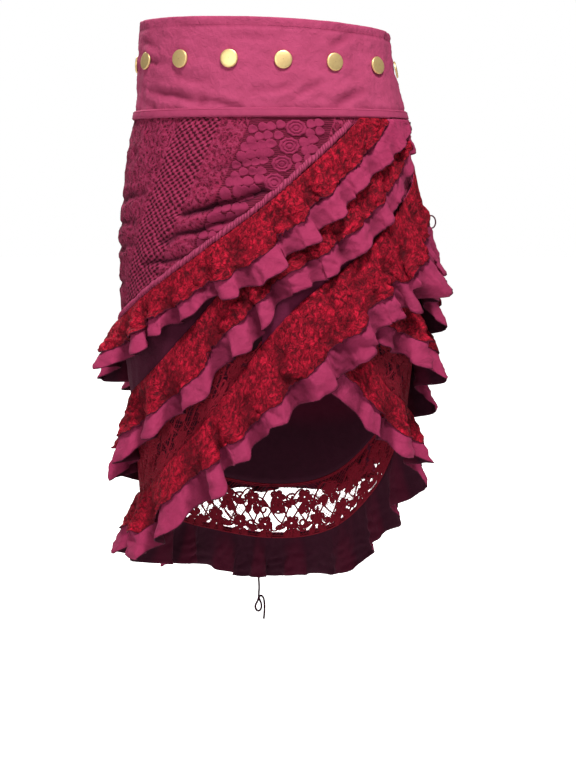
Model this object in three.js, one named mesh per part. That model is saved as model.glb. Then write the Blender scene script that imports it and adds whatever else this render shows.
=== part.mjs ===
// Wrap skirt with a snap waistband, an eyelet hip panel and three double ruffles.
// Millimetres, +Z up, the front faces -Y, +X is at the viewer's right hand.
// The origin is the middle of the waist, half way up the waistband.
//
// A place on the cloth is given by a turn and a height. The turn is in degrees round
// the body: 0 at the middle front, -90 at the viewer's left, -180 at the middle back,
// and on to -330 where the inner end of the wrap comes round to the front again.
import * as THREE from 'three';

// ---- Driving sizes ------------------------------------------------------------------
const BAND = { low: -51.5, wall: 2, outerEnd: 132, innerEnd: -292, columns: 56, rows: 3 };
const BINDING = { high: -46.8, low: -56.6, wall: 1.7, seat: 0.5 };
// The outer end rises over the inner one between these many degrees before it.
const LAP = { gap: 0.5, riseFrom: 26, riseTo: 3, outerFrom: -40, innerTo: -180 };
// The snaps' row sags by a few millimetres to the right and rises as much at the left.
const SNAP = { radius: 9.7, height: 3.2, rim: 1.3, shoulder: [0.72, 0.8], sides: 8, seat: 0.55 };
const SNAP_ROW = { count: 14, firstTurn: 9, high: 4, sag: 3.5 };
// The hip and base panels. Their edges change over from the outer end's line to the
// inner end's line between two turns.
const BASE = {
  wall: 1.7, seam: 0.5, tuck: 8, hipRows: 7, baseRows: 3, hipChange: [38, 66], bodyChange: [10, 28],
};
// The lace inserts: their front ends and the turns of gap there and at the back seam.
const INSERT = {
  wall: 1.3, height: 84, cellsHigh: 3, frontTurn: -2, lapTurn: 30, leftCells: 16, rightCells: 13,
  frontGap: 0.4, backGap: 0.12,
};
// A hole's half width and half height as shares of its cell, and how they vary.
const HOLE = { across: 0.24, down: 0.26, change: 0.07, shift: 0.09, skew: 0.05 };
const PIPING = {
  wide: 7, thick: 4, thin: 0.9, seat: 0.4, above: 0.4, outerTurn: 34, innerTurn: -268, columns: 50,
};
const FRILL = { wall: 1.5, seat: 0.4 };
const LACE = { wall: 1.2, gap: 0.4 };
// Where the waist seam cuts the ruffles off, the height at which a fold line has its own
// turn, and the shortest stretch that is made.
const RUFFLE = { top: -57, slantFrom: -60, shortest: 5, columnsPerWave: 4 };
// How far past a ruffle's ends (degrees) and edges (mm) the cloth above keeps clear of it.
const KEEP_CLEAR = { gap: 0.5, ends: 4, below: 4, fadeAbove: [6, 16] };
// Waves along a ruffle: two slow changes in their length, and one in their height.
const UNEVEN = [{ share: 0.008, pace: 9 }, { share: 0.005, pace: 22 }];
const WAVE_HEIGHT = { mean: 0.82, change: 0.18, pace: 1.7 };
// The loop's route: [out, down] from its seat on the cloth.
const LOOP = {
  fold: 79, radius: 0.9, seat: 0.5, above: 0.4, steps: 14,
  route: [[0, 0], [3.5, -2.5], [8, -3], [11, 0.5], [11.3, 6], [9, 10.5], [5.5, 12], [3.4, 11.5]],
};
// The tie's route: [x, y, z] from its seat inside the hem.
const TIE = {
  fold: -176, high: -700, radius: 1.5, gap: 0.35, steps: 32,
  route: [
    [0, 0, 0], [0, 0, -8], [0.5, 0, -18], [0, 0, -30], [-1, 0, -40], [-4, 0.5, -46], [-5.5, 1, -52],
    [-3, 2, -58], [1, 3, -58.5], [3.6, 3.8, -54], [3.2, 4.2, -47], [0.5, 4.4, -41], [0.5, 4.6, -37],
    [3.5, 4.8, -35.5], [7, 4.8, -40], [8.2, 4.5, -50], [8, 4, -62], [7, 4, -72],
  ],
};
const PANEL_TOP = -51.9;

// Half widths of the body form at each height: cx is the middle, half the half width,
// front and back the depths before and behind the middle.
const FORM = [
  { at: -720, cx: 0, half: 165, front: 140, back: 164 },
  { at: -630, cx: 0, half: 164, front: 138, back: 160 },
  { at: -520, cx: 0, half: 165, front: 136, back: 154 },
  { at: -410, cx: 1, half: 172, front: 134, back: 150 },
  { at: -290, cx: 1, half: 182, front: 132, back: 148 },
  { at: -190, cx: 1, half: 181, front: 130, back: 146 },
  { at: -140, cx: 1, half: 175, front: 127, back: 140 },
  { at: -90, cx: 1, half: 168, front: 123, back: 130 },
  { at: -45, cx: 0.5, half: 157, front: 118, back: 116 },
  { at: 10, cx: -5, half: 147.5, front: 112, back: 106 },
  { at: 60, cx: -6, half: 142, front: 108, back: 104 },
];

// Height of the waistband's top edge round the body.
const BAND_TOP = [
  { at: -292, high: 42 },
  { at: -270, high: 40 },
  { at: -180, high: 46 },
  { at: -90, high: 53 },
  { at: 0, high: 48 },
  { at: 90, high: 40 },
  { at: 132, high: 42 },
];

// How far a ruffle's folds lean as they fall: degrees of turn for each 100 mm down.
const SLANT = [
  { at: -360, lean: -12 },
  { at: -300, lean: -9 },
  { at: -240, lean: -3 },
  { at: -180, lean: 0 },
  { at: -120, lean: 3 },
  { at: -80, lean: 8 },
  { at: -40, lean: 12 },
  { at: 60, lean: 12 },
  { at: 140, lean: 10 },
];

// A row for each stretch of a ruffle: the turn of its fold line, the height of its sewn
// edge, how far down its lace and its frill reach, how far the frill's edge stands out,
// how late it curls out on the way down, and the height of its waves.
const TIERS = [
  {
    name: 'tier1', waves: 24, outer: 76, inner: -285,
    rows: [
      { at: -285, top: -182, lace: 34, frill: 56, flare: 12, curl: 1.2, wave: 3 },
      { at: -270, top: -208, lace: 36, frill: 64, flare: 24, curl: 1.2, wave: 6 },
      { at: -255, top: -246, lace: 38, frill: 68, flare: 28, curl: 1.2, wave: 8 },
      { at: -235, top: -308, lace: 40, frill: 66, flare: 22, curl: 1.2, wave: 7 },
      { at: -210, top: -350, lace: 40, frill: 62, flare: 18, curl: 1.2, wave: 7 },
      { at: -180, top: -362, lace: 40, frill: 60, flare: 18, curl: 1.2, wave: 7 },
      { at: -150, top: -354, lace: 38, frill: 60, flare: 22, curl: 1.2, wave: 7 },
      { at: -120, top: -330, lace: 36, frill: 62, flare: 32, curl: 1.1, wave: 8 },
      { at: -98, top: -298, lace: 34, frill: 57, flare: 40, curl: 1, wave: 8 },
      { at: -80, top: -275, lace: 32, frill: 54, flare: 30, curl: 1, wave: 7 },
      { at: -60, top: -239, lace: 30, frill: 52, flare: 19, curl: 1.1, wave: 6 },
      { at: -40, top: -202, lace: 31, frill: 52, flare: 15, curl: 1.2, wave: 5 },
      { at: -15, top: -157, lace: 34, frill: 56, flare: 13, curl: 1.2, wave: 5 },
      { at: 15, top: -100, lace: 36, frill: 56, flare: 11, curl: 1.2, wave: 4 },
      { at: 45, top: -48, lace: 34, frill: 56, flare: 6, curl: 1.3, wave: 2 },
      { at: 76, top: 6, lace: 34, frill: 70, flare: 3, curl: 1.3, wave: 0.5 },
    ],
  },
  {
    name: 'tier2', waves: 27, outer: 96, inner: -304,
    rows: [
      { at: -312, top: -224, lace: 36, frill: 58, flare: 4, curl: 1.5, wave: 1.5 },
      { at: -290, top: -253, lace: 37, frill: 64, flare: 14, curl: 1.3, wave: 4 },
      { at: -270, top: -276, lace: 38, frill: 68, flare: 32, curl: 1.2, wave: 7 },
      { at: -252, top: -322, lace: 42, frill: 80, flare: 36, curl: 1.2, wave: 8 },
      { at: -230, top: -420, lace: 42, frill: 76, flare: 26, curl: 1.2, wave: 8 },
      { at: -205, top: -486, lace: 42, frill: 72, flare: 20, curl: 1.2, wave: 7 },
      { at: -180, top: -501, lace: 42, frill: 70, flare: 18, curl: 1.2, wave: 7 },
      { at: -150, top: -480, lace: 42, frill: 74, flare: 20, curl: 1.2, wave: 7 },
      { at: -120, top: -436, lace: 44, frill: 80, flare: 25, curl: 1.2, wave: 8 },
      { at: -98, top: -391, lace: 46, frill: 83, flare: 26, curl: 1.2, wave: 8 },
      { at: -75, top: -346, lace: 43, frill: 72, flare: 22, curl: 1.2, wave: 7 },
      { at: -55, top: -292, lace: 40, frill: 67, flare: 16, curl: 1.2, wave: 6 },
      { at: -35, top: -236, lace: 34, frill: 67, flare: 13, curl: 1.2, wave: 5 },
      { at: -16, top: -195, lace: 38, frill: 62, flare: 12, curl: 1.2, wave: 5 },
      { at: 15, top: -146, lace: 40, frill: 61, flare: 12, curl: 1.3, wave: 4 },
      { at: 60, top: -62, lace: 40, frill: 56, flare: 7, curl: 1.5, wave: 2 },
      { at: 96, top: 6, lace: 40, frill: 70, flare: 4, curl: 1.5, wave: 0.5 },
    ],
  },
  {
    name: 'tier3', waves: 29, outer: 126, inner: -320,
    rows: [
      { at: -320, top: -268, lace: 32, frill: 62, flare: 3, curl: 1.5, wave: 1 },
      { at: -300, top: -317, lace: 33, frill: 62, flare: 6, curl: 1.5, wave: 2 },
      { at: -285, top: -364, lace: 32, frill: 62, flare: 16, curl: 1.3, wave: 5 },
      { at: -270, top: -392, lace: 36, frill: 60, flare: 26, curl: 1.2, wave: 8 },
      { at: -252, top: -426, lace: 40, frill: 70, flare: 34, curl: 1.2, wave: 9 },
      { at: -230, top: -528, lace: 44, frill: 76, flare: 26, curl: 1.2, wave: 8 },
      { at: -205, top: -610, lace: 44, frill: 77, flare: 20, curl: 1.2, wave: 8 },
      { at: -180, top: -632, lace: 44, frill: 78, flare: 18, curl: 1.2, wave: 8 },
      { at: -150, top: -603, lace: 44, frill: 77, flare: 22, curl: 1.2, wave: 8 },
      { at: -125, top: -556, lace: 42, frill: 76, flare: 32, curl: 1.1, wave: 8 },
      { at: -105, top: -516, lace: 38, frill: 74, flare: 34, curl: 1, wave: 8 },
      { at: -90, top: -492, lace: 42, frill: 74, flare: 27, curl: 1.1, wave: 8 },
      { at: -68, top: -424, lace: 38, frill: 78, flare: 20, curl: 1.2, wave: 7 },
      { at: -50, top: -362, lace: 46, frill: 71, flare: 18, curl: 1.2, wave: 7 },
      { at: -30, top: -300, lace: 52, frill: 76, flare: 18, curl: 1.2, wave: 6 },
      { at: -10, top: -252, lace: 60, frill: 92, flare: 20, curl: 1.2, wave: 6 },
      { at: 15, top: -209, lace: 58, frill: 82, flare: 20, curl: 1.2, wave: 6 },
      { at: 45, top: -157, lace: 59, frill: 98, flare: 22, curl: 1.5, wave: 6 },
      { at: 75, top: -119, lace: 59, frill: 104, flare: 22, curl: 1.8, wave: 5 },
      { at: 105, top: -80, lace: 50, frill: 86, flare: 16, curl: 1.8, wave: 4 },
      { at: 126, top: -48, lace: 44, frill: 72, flare: 6, curl: 1.5, wave: 1 },
    ],
  },
];

// Soft troughs in the cloth, each along a straight line from one place to another.
const CREASES = [
  { turn: -33, high: -172, toTurn: 8, toHigh: -131, deep: 4, wide: 12 },
  { turn: -42, high: -192, toTurn: -8, toHigh: -161, deep: 3.5, wide: 11 },
  { turn: -52, high: -218, toTurn: -27, toHigh: -207, deep: 3, wide: 10 },
  { turn: -96, high: -150, toTurn: -58, toHigh: -141, deep: 3, wide: 11 },
  { turn: -98, high: -181, toTurn: -66, toHigh: -172, deep: 2.5, wide: 10 },
  { turn: -97, high: -209, toTurn: -62, toHigh: -200, deep: 3, wide: 10 },
  { turn: -96, high: -251, toTurn: -72, toHigh: -244, deep: 2.5, wide: 10 },
  { turn: -60, high: -26, toTurn: -26, toHigh: -38, deep: 2, wide: 10 },
  { turn: 27, high: -44, toTurn: 45, toHigh: -26, deep: 2, wide: 10 },
  { turn: 31, high: 18, toTurn: 44, toHigh: 32, deep: 1.6, wide: 9 },
  { turn: -150, high: -150, toTurn: -112, toHigh: -168, deep: 3.5, wide: 13 },
  { turn: -222, high: -170, toTurn: -186, toHigh: -150, deep: 3.5, wide: 13 },
  { turn: -175, high: -230, toTurn: -135, toHigh: -250, deep: 3, wide: 14 },
  { turn: -200, high: -36, toTurn: -170, toHigh: -22, deep: 2, wide: 10 },
];
const CREASE_MM_PER_DEGREE = 2.9;

// ---- Small tools --------------------------------------------------------------------
const rad = THREE.MathUtils.degToRad;
const clamp = THREE.MathUtils.clamp;
const lerp = THREE.MathUtils.lerp;
const smoothstep = THREE.MathUtils.smoothstep;

// Value of one column of a table at any place, on a smooth curve through its rows.
function sample(rows, column, at) {
  const last = rows.length - 1;
  if (at <= rows[0].at) return rows[0][column];
  if (at >= rows[last].at) return rows[last][column];
  let i = 0;
  while (rows[i + 1].at < at) i += 1;
  const slope = (k) => {
    const a = rows[Math.max(k - 1, 0)];
    const b = rows[Math.min(k + 1, last)];
    return (b[column] - a[column]) / (b.at - a.at);
  };
  const step = rows[i + 1].at - rows[i].at;
  const t = (at - rows[i].at) / step;
  const rise = rows[i + 1][column] - rows[i][column];
  const bend0 = slope(i) * step - rise;
  const bend1 = rise - slope(i + 1) * step;
  return rows[i][column] + rise * t + t * (1 - t) * (bend0 * (1 - t) + bend1 * t);
}

// Depth of the soft troughs at a place on the cloth.
function creaseDepth(turn, z) {
  let sum = 0;
  for (const c of CREASES) {
    const ax = c.turn * CREASE_MM_PER_DEGREE;
    const dx = (c.toTurn - c.turn) * CREASE_MM_PER_DEGREE;
    const dz = c.toHigh - c.high;
    const px = turn * CREASE_MM_PER_DEGREE - ax;
    const pz = z - c.high;
    const along = clamp((px * dx + pz * dz) / (dx * dx + dz * dz), 0, 1);
    const away = Math.hypot(px - along * dx, pz - along * dz);
    sum += c.deep * Math.exp(-((away / c.wide) ** 2));
  }
  return sum;
}

// Point on the body form, moved out along its normal.
function skin(turn, z, out) {
  const cx = sample(FORM, 'cx', z);
  const a = sample(FORM, 'half', z);
  const s = Math.sin(rad(turn));
  const c = Math.cos(rad(turn));
  const b = sample(FORM, c > 0 ? 'front' : 'back', z);
  const nx = s / a;
  const ny = -c / b;
  const n = Math.hypot(nx, ny);
  return new THREE.Vector3(cx + a * s + (out * nx) / n, -b * c + (out * ny) / n, z);
}

// ---- Solids from grids --------------------------------------------------------------
// A wall between an outer and an inner grid of points: columns[i][row] = [outer, inner].
// A ring joins its last column to its first.
function wallGeometry(columns, ring) {
  const rows = columns[0].length;
  const position = [];
  const index = [];
  for (const column of columns) {
    for (const [outer, inner] of column) position.push(...outer.toArray(), ...inner.toArray());
  }
  const outerAt = (i, j) => 2 * ((i % columns.length) * rows + j);
  const innerAt = (i, j) => outerAt(i, j) + 1;
  const quad = (a, b, c, d) => index.push(a, c, b, a, d, c);
  const spans = ring ? columns.length : columns.length - 1;
  for (let i = 0; i < spans; i += 1) {
    for (let j = 0; j < rows - 1; j += 1) {
      quad(outerAt(i, j), outerAt(i, j + 1), outerAt(i + 1, j + 1), outerAt(i + 1, j));
      quad(innerAt(i, j), innerAt(i + 1, j), innerAt(i + 1, j + 1), innerAt(i, j + 1));
    }
    quad(outerAt(i, 0), outerAt(i + 1, 0), innerAt(i + 1, 0), innerAt(i, 0));
    const j = rows - 1;
    quad(outerAt(i, j), innerAt(i, j), innerAt(i + 1, j), outerAt(i + 1, j));
  }
  if (!ring) {
    for (let j = 0; j < rows - 1; j += 1) {
      quad(outerAt(0, j), innerAt(0, j), innerAt(0, j + 1), outerAt(0, j + 1));
      const i = columns.length - 1;
      quad(outerAt(i, j), outerAt(i, j + 1), innerAt(i, j + 1), innerAt(i, j));
    }
  }
  return meshGeometry(position, index);
}

function meshGeometry(position, index) {
  const geometry = new THREE.BufferGeometry();
  geometry.setAttribute('position', new THREE.Float32BufferAttribute(position, 3));
  geometry.setIndex(index);
  return geometry;
}

// Columns for wallGeometry from a list of turns and a function of each row's height.
// Columns run from high turns to low ones, rows from top to bottom.
function wallColumns(turns, heights, outerAt, wall) {
  return turns.map((turn) => heights(turn).map((z) => {
    const out = outerAt(turn, z);
    return [skin(turn, z, out), skin(turn, z, out - wall)];
  }));
}

function spread(from, to, count) {
  return Array.from({ length: count + 1 }, (_, i) => lerp(from, to, i / count));
}

// ---- Ruffles ------------------------------------------------------------------------
// The turn reached at a height by the fold line that starts at a given turn.
function turnOnFold(fold, z) {
  return fold + (sample(SLANT, 'lean', fold) * (RUFFLE.slantFrom - z)) / 100;
}

// The fold line that passes through a place on the cloth, by repeated correction.
function foldAt(turn, z) {
  const corrections = 12;
  let fold = turn;
  for (let i = 0; i < corrections; i += 1) fold += turn - turnOnFold(fold, z);
  return fold;
}

// The sewn edge and the lower edges of a ruffle's lace and frill at one fold line.
// Where the ruffle runs into the waist seam, the seam cuts it off.
function edges(tier, fold) {
  const line = sample(tier.rows, 'top', fold);
  return {
    top: Math.min(line, RUFFLE.top),
    lace: Math.min(line - sample(tier.rows, 'lace', fold), RUFFLE.top),
    frill: Math.min(line - sample(tier.rows, 'frill', fold), RUFFLE.top),
  };
}

// How far a frill's inner face stands off the body at a height, at a wave's phase.
// It lies over the ruffle below it, and an outer end lies over the inner end.
function standOff(k, fold, z, wave) {
  const tier = TIERS[k];
  const edge = edges(tier, fold);
  const s = clamp((edge.top - z) / Math.max(edge.top - edge.frill, 1), 0, 1);
  const stand = sample(tier.rows, 'flare', fold) + sample(tier.rows, 'wave', fold) * wave;
  const own = FRILL.seat + s ** sample(tier.rows, 'curl', fold) * stand;
  return Math.max(own, k + 1 < TIERS.length ? reach(k + 1, fold, z) : 0, lapReach(fold, z));
}

// How far the outer face of a ruffle reaches at a place, with some clearance, or zero
// where the ruffle doesn't lie.
function reach(k, fold, z) {
  const tier = TIERS[k];
  if (fold > tier.outer + KEEP_CLEAR.ends || fold < tier.inner - KEEP_CLEAR.ends) return 0;
  const edge = edges(tier, fold);
  const above = z - edge.top;
  const below = edge.frill - z;
  if (above > KEEP_CLEAR.fadeAbove[1] || below > KEEP_CLEAR.below) return 0;
  const overLace = FRILL.wall + LACE.gap + LACE.wall + KEEP_CLEAR.gap;
  const full = standOff(k, fold, clamp(z, edge.frill, edge.top), 1) + overLace;
  return full * (1 - smoothstep(above, ...KEEP_CLEAR.fadeAbove));
}

// The same for the tucked inner ends, under the outer end of the wrap.
function lapReach(fold, z) {
  if (fold < LAP.outerFrom) return 0;
  const inner = foldAt(turnOnFold(fold, z) - 360, z);
  return Math.max(...TIERS.map((tier, k) => (inner > LAP.innerTo ? 0 : reach(k, inner, z))));
}

// Fold lines of a ruffle's columns, a few to a wave, with waves of uneven length.
function foldColumns(tier) {
  const count = tier.waves * RUFFLE.columnsPerWave;
  return Array.from({ length: count + 1 }, (_, i) => {
    const t = i / count;
    const slow = UNEVEN[0].share * Math.sin(UNEVEN[0].pace * Math.PI * t + tier.waves);
    const quick = UNEVEN[1].share * Math.sin(UNEVEN[1].pace * Math.PI * t);
    const shifted = t + (slow + quick) * Math.sin(Math.PI * t);
    return { fold: lerp(tier.outer, tier.inner, shifted), step: i };
  });
}

// Height of the wave at a column: full at every crest and trough, each a bit higher or
// lower than the next.
function waveAt(step) {
  const size = WAVE_HEIGHT.mean + WAVE_HEIGHT.change * Math.sin(step * WAVE_HEIGHT.pace);
  return size * Math.sin((2 * Math.PI * step) / RUFFLE.columnsPerWave);
}

// Heights of a column's points: a lace from its sewn edge to its own lower edge, a frill
// with the same points and its hem. Where the waist seam has cut the lace off, the
// frill's points are spread evenly.
function columnHeights(part, edge) {
  if (part === 'lace') return spread(edge.top, edge.lace, 2);
  if (edge.top - edge.lace < RUFFLE.shortest) return spread(edge.top, edge.frill, 3);
  return [...spread(edge.top, edge.lace, 2), edge.frill];
}

// Columns of a ruffle's frill or of the lace on it, which is made from the same places
// moved out.
function ruffleColumns(k, part) {
  const tier = TIERS[k];
  const start = part === 'lace' ? FRILL.wall + LACE.gap : 0;
  const wall = part === 'lace' ? LACE.wall : FRILL.wall;
  const columns = [];
  for (const { fold, step } of foldColumns(tier)) {
    const edge = edges(tier, fold);
    if (edge.top - edge[part] < RUFFLE.shortest) continue;
    columns.push(columnHeights(part, edge).map((z) => {
      const out = standOff(k, fold, z, waveAt(step)) + start;
      const turn = turnOnFold(fold, z);
      return [skin(turn, z, out + wall), skin(turn, z, out)];
    }));
  }
  return columns;
}

// ---- Body panels --------------------------------------------------------------------
// Height of a ruffle's sewn edge at a turn, worked out from its fold lines.
function sewnLine(tier, turn) {
  const halvings = 24;
  let low = tier.inner;
  let high = tier.outer;
  for (let i = 0; i < halvings; i += 1) {
    const fold = (low + high) / 2;
    if (turnOnFold(fold, edges(tier, fold).top) < turn) low = fold;
    else high = fold;
  }
  return edges(tier, (low + high) / 2).top;
}

// The same all round the closed body: the outer end's line at the left and the front,
// the inner end's line at the right, with a smooth change from one to the other.
function sewnRing(tier, turn, [changeFrom, changeTo]) {
  if (turn <= changeFrom) return sewnLine(tier, turn);
  if (turn >= changeTo) return sewnLine(tier, turn - 360);
  const t = smoothstep(turn, changeFrom, changeTo);
  return lerp(sewnLine(tier, changeFrom), sewnLine(tier, changeTo - 360), t);
}

const hipEdge = (turn) => sewnRing(TIERS[0], turn, BASE.hipChange) - BASE.tuck;
const bodyEdge = (turn) => sewnRing(TIERS[2], turn, BASE.bodyChange) - BASE.tuck;
const inInsert = (turn) => turn < INSERT.frontTurn || turn > INSERT.lapTurn;
const baseEdge = (turn) => (inInsert(turn) ? insertLine(turn) + INSERT.height + BASE.seam : bodyEdge(turn));

// The lace inserts' lower edge: straight from cell corner to cell corner.
function insertLine(turn) {
  const [from, to, cells] = turn > INSERT.lapTurn
    ? [180, INSERT.lapTurn, INSERT.rightCells]
    : [INSERT.frontTurn, -180, INSERT.leftCells];
  const at = clamp((cells * (turn - from)) / (to - from), 0, cells);
  const i = Math.min(Math.floor(at), cells - 1);
  const cornerEdge = (n) => bodyEdge(lerp(from, to, n / cells));
  return lerp(cornerEdge(i), cornerEdge(i + 1), at - i);
}

// Turns of the body panels' columns: two to each cell of the lace inserts, and a pair
// close together where the base panel steps up or down at each insert's front end.
function ringTurns() {
  const { frontTurn, lapTurn, leftCells, rightCells } = INSERT;
  const step = 0.12;
  const right = spread(180, lapTurn, 2 * rightCells).slice(0, -1);
  const front = spread(lapTurn, frontTurn, 5).slice(1, -1);
  const left = spread(frontTurn, -180, 2 * leftCells).slice(1, -1);
  return [...right, lapTurn + step, lapTurn - step, ...front, frontTurn + step, frontTurn - step, ...left];
}

// The creases' table runs on past the middle back, so turns past the right side are
// counted on from there.
function hipPanel() {
  const heights = (turn) => spread(PANEL_TOP, hipEdge(turn), BASE.hipRows);
  const outer = (turn, z) => -creaseDepth(turn > BAND.outerEnd ? turn - 360 : turn, z);
  return wallGeometry(wallColumns(ringTurns(), heights, outer, BASE.wall), true);
}

function basePanel() {
  const heights = (turn) => spread(hipEdge(turn) - BASE.seam, baseEdge(turn), BASE.baseRows);
  return wallGeometry(wallColumns(ringTurns(), heights, () => 0, BASE.wall), true);
}

// Open lace: a wall in which every cell has one four-cornered hole. Holes sit a little
// up or down and are larger or smaller from cell to cell.
function laceInsert(fromTurn, toTurn, cells, firstGap, lastGap) {
  const position = [];
  const index = [];
  const high = INSERT.cellsHigh;
  const corner = new Map();
  const place = (i, j) => {
    const turn = clamp(lerp(fromTurn, toTurn, i / cells), toTurn + lastGap, fromTurn - firstGap);
    const z = insertLine(turn) + INSERT.height * (1 - j / high);
    return [turn, z];
  };
  const add = (turn, z) => {
    position.push(...skin(turn, z, 0).toArray(), ...skin(turn, z, -INSERT.wall).toArray());
    return position.length / 3 - 2;
  };
  const cornerAt = (i, j) => {
    const key = i * 100 + j;
    if (!corner.has(key)) corner.set(key, add(...place(i, j)));
    return corner.get(key);
  };
  const quad = (a, b, c, d) => {
    index.push(a, c, b, a, d, c);
    index.push(a + 1, b + 1, c + 1, a + 1, c + 1, d + 1);
  };
  const side = (a, b) => index.push(a, b, b + 1, a, b + 1, a + 1);
  for (let i = 0; i < cells; i += 1) {
    for (let j = 0; j < high; j += 1) {
      const outer = [cornerAt(i, j), cornerAt(i, j + 1), cornerAt(i + 1, j + 1), cornerAt(i + 1, j)];
      const across = HOLE.across + HOLE.change * Math.sin(i * 2.3 + j * 1.9);
      const down = HOLE.down + HOLE.change * Math.sin(i * 1.3 + j * 2.9);
      const shift = HOLE.shift * Math.cos(i * Math.PI + j * 1.1);
      const inner = [[-1, -1], [-1, 1], [1, 1], [1, -1]].map(([x, y]) => {
        const skew = HOLE.skew * Math.sin(i * 3.1 + j * 1.7) * y;
        return add(...place(i + 0.5 + x * across + skew, j + 0.5 + shift + y * down));
      });
      for (let n = 0; n < 4; n += 1) {
        const m = (n + 1) % 4;
        quad(outer[n], outer[m], inner[m], inner[n]);
        side(inner[m], inner[n]);
      }
    }
  }
  for (let i = 0; i < cells; i += 1) {
    side(cornerAt(i + 1, 0), cornerAt(i, 0));
    side(cornerAt(i, high), cornerAt(i + 1, high));
  }
  for (let j = 0; j < high; j += 1) {
    side(cornerAt(0, j), cornerAt(0, j + 1));
    side(cornerAt(cells, j + 1), cornerAt(cells, j));
  }
  return meshGeometry(position, index);
}

// ---- Waist --------------------------------------------------------------------------
// The wrap's outer end lies over its inner end and the binding on it.
function lapLift(turn) {
  const overlapStart = BAND.innerEnd + 360;
  const layers = BINDING.seat + BINDING.wall + LAP.gap + BAND.wall;
  return layers * smoothstep(turn, overlapStart - LAP.riseFrom, overlapStart - LAP.riseTo);
}

function waistband() {
  const turns = spread(BAND.outerEnd, BAND.innerEnd, BAND.columns);
  const heights = (turn) => spread(sample(BAND_TOP, 'high', turn), BAND.low, BAND.rows);
  const outer = (turn, z) => lapLift(turn) - creaseDepth(turn, z);
  return wallGeometry(wallColumns(turns, heights, outer, BAND.wall), false);
}

function waistBinding() {
  const turns = spread(BAND.outerEnd, BAND.innerEnd, BAND.columns);
  const outer = (turn) => BINDING.seat + BINDING.wall + lapLift(turn);
  const columns = wallColumns(turns, () => [BINDING.high, BINDING.low], outer, BINDING.wall);
  return wallGeometry(columns, false);
}

// Turns at equal steps of length round the waistband. Those that the outer end covers
// are on it, clear of its edge.
function snapTurns() {
  const fine = 1440;
  const edgeMargin = 5;
  const along = [0];
  const at = (i) => skin(SNAP_ROW.firstTurn - (360 * i) / fine, 0, 0);
  for (let i = 1; i <= fine; i += 1) along.push(along[i - 1] + at(i).distanceTo(at(i - 1)));
  return Array.from({ length: SNAP_ROW.count }, (_, n) => {
    const goal = (along[fine] * n) / SNAP_ROW.count;
    const turn = SNAP_ROW.firstTurn - (360 * along.findIndex((d) => d >= goal)) / fine;
    return turn + 360 < BAND.outerEnd - edgeMargin ? turn + 360 : turn;
  });
}

// A domed cap on the band, its back flat, square to the cloth at its middle.
function snapMesh(turn) {
  const { radius, height, rim, shoulder } = SNAP;
  const profile = [
    [0, 0], [radius, 0], [radius, rim], [shoulder[0] * radius, shoulder[1] * height], [0, height],
  ];
  const geometry = new THREE.LatheGeometry(profile.map(([x, y]) => new THREE.Vector2(x, y)), SNAP.sides);
  const mesh = new THREE.Mesh(geometry);
  const z = SNAP_ROW.high - SNAP_ROW.sag * Math.sin(rad(turn));
  const face = (t, h) => skin(t, h, lapLift(t) - creaseDepth(t, h));
  const [besideTurn, besideHigh] = [2, 5];
  const across = face(turn + besideTurn, z).sub(face(turn - besideTurn, z));
  const up = face(turn, z + besideHigh).sub(face(turn, z - besideHigh));
  const normal = across.cross(up).normalize();
  mesh.position.copy(face(turn, z).addScaledVector(normal, SNAP.seat));
  mesh.quaternion.setFromUnitVectors(new THREE.Vector3(0, 1, 0), normal);
  return mesh;
}

// Gathered piping along the first ruffle's sewn edge, thickest in its middle.
function piping() {
  const tier = TIERS[0];
  const columns = spread(PIPING.outerTurn, PIPING.innerTurn, PIPING.columns).map((fold) => {
    const low = edges(tier, fold).top + PIPING.above;
    return spread(low + PIPING.wide, low, 2).map((z, n) => {
      const thick = n === 1 ? PIPING.thick : PIPING.thin;
      const turn = turnOnFold(fold, z);
      return [skin(turn, z, PIPING.seat + thick), skin(turn, z, PIPING.seat)];
    });
  });
  return wallGeometry(columns, false);
}

// ---- Cords --------------------------------------------------------------------------
function cordGeometry(points, radius, steps) {
  const section = new THREE.Shape();
  section.absarc(0, 0, radius, 0, 2 * Math.PI);
  const extrudePath = new THREE.CatmullRomCurve3(points);
  return new THREE.ExtrudeGeometry(section, { extrudePath, steps, curveSegments: 4, bevelEnabled: false });
}

// Stand-off of the lowest frill's inner face on the column nearest a fold line, in a
// trough or out of one, at a height or at the lace's lower edge.
function hemColumn(fold, z, trough) {
  const isTrough = ({ step }) => step % RUFFLE.columnsPerWave === RUFFLE.columnsPerWave - 1;
  const near = foldColumns(TIERS[2]).filter((column) => isTrough(column) === trough);
  near.sort((a, b) => Math.abs(a.fold - fold) - Math.abs(b.fold - fold));
  const column = near[0];
  const at = z ?? edges(TIERS[2], column.fold).lace;
  const out = standOff(2, column.fold, at, waveAt(column.step));
  return { turn: turnOnFold(column.fold, at), z: at, out };
}

// A thread loop at the right, out of the lowest ruffle's lace and back to its frill.
function sideLoop() {
  const seat = hemColumn(LOOP.fold, null, false);
  const start = seat.out + FRILL.wall + LACE.gap + LACE.wall + LOOP.seat;
  const high = seat.z + LOOP.above;
  const points = LOOP.route.map(([out, down]) => skin(seat.turn, high - down, start + out));
  return cordGeometry(points, LOOP.radius, LOOP.steps);
}

// A narrow tie that hangs from inside the hem at the middle back, looped at its end.
function backTie() {
  const seat = hemColumn(TIE.fold, TIE.high, true);
  const start = skin(seat.turn, TIE.high, seat.out - TIE.gap - TIE.radius);
  const points = TIE.route.map(([x, y, z]) => start.clone().add(new THREE.Vector3(x, y, z)));
  return cordGeometry(points, TIE.radius, TIE.steps);
}

// ---- The skirt ----------------------------------------------------------------------
const cloth = (color) => new THREE.MeshStandardMaterial({ color, roughness: 0.85, metalness: 0 });
const group = new THREE.Group();

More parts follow.
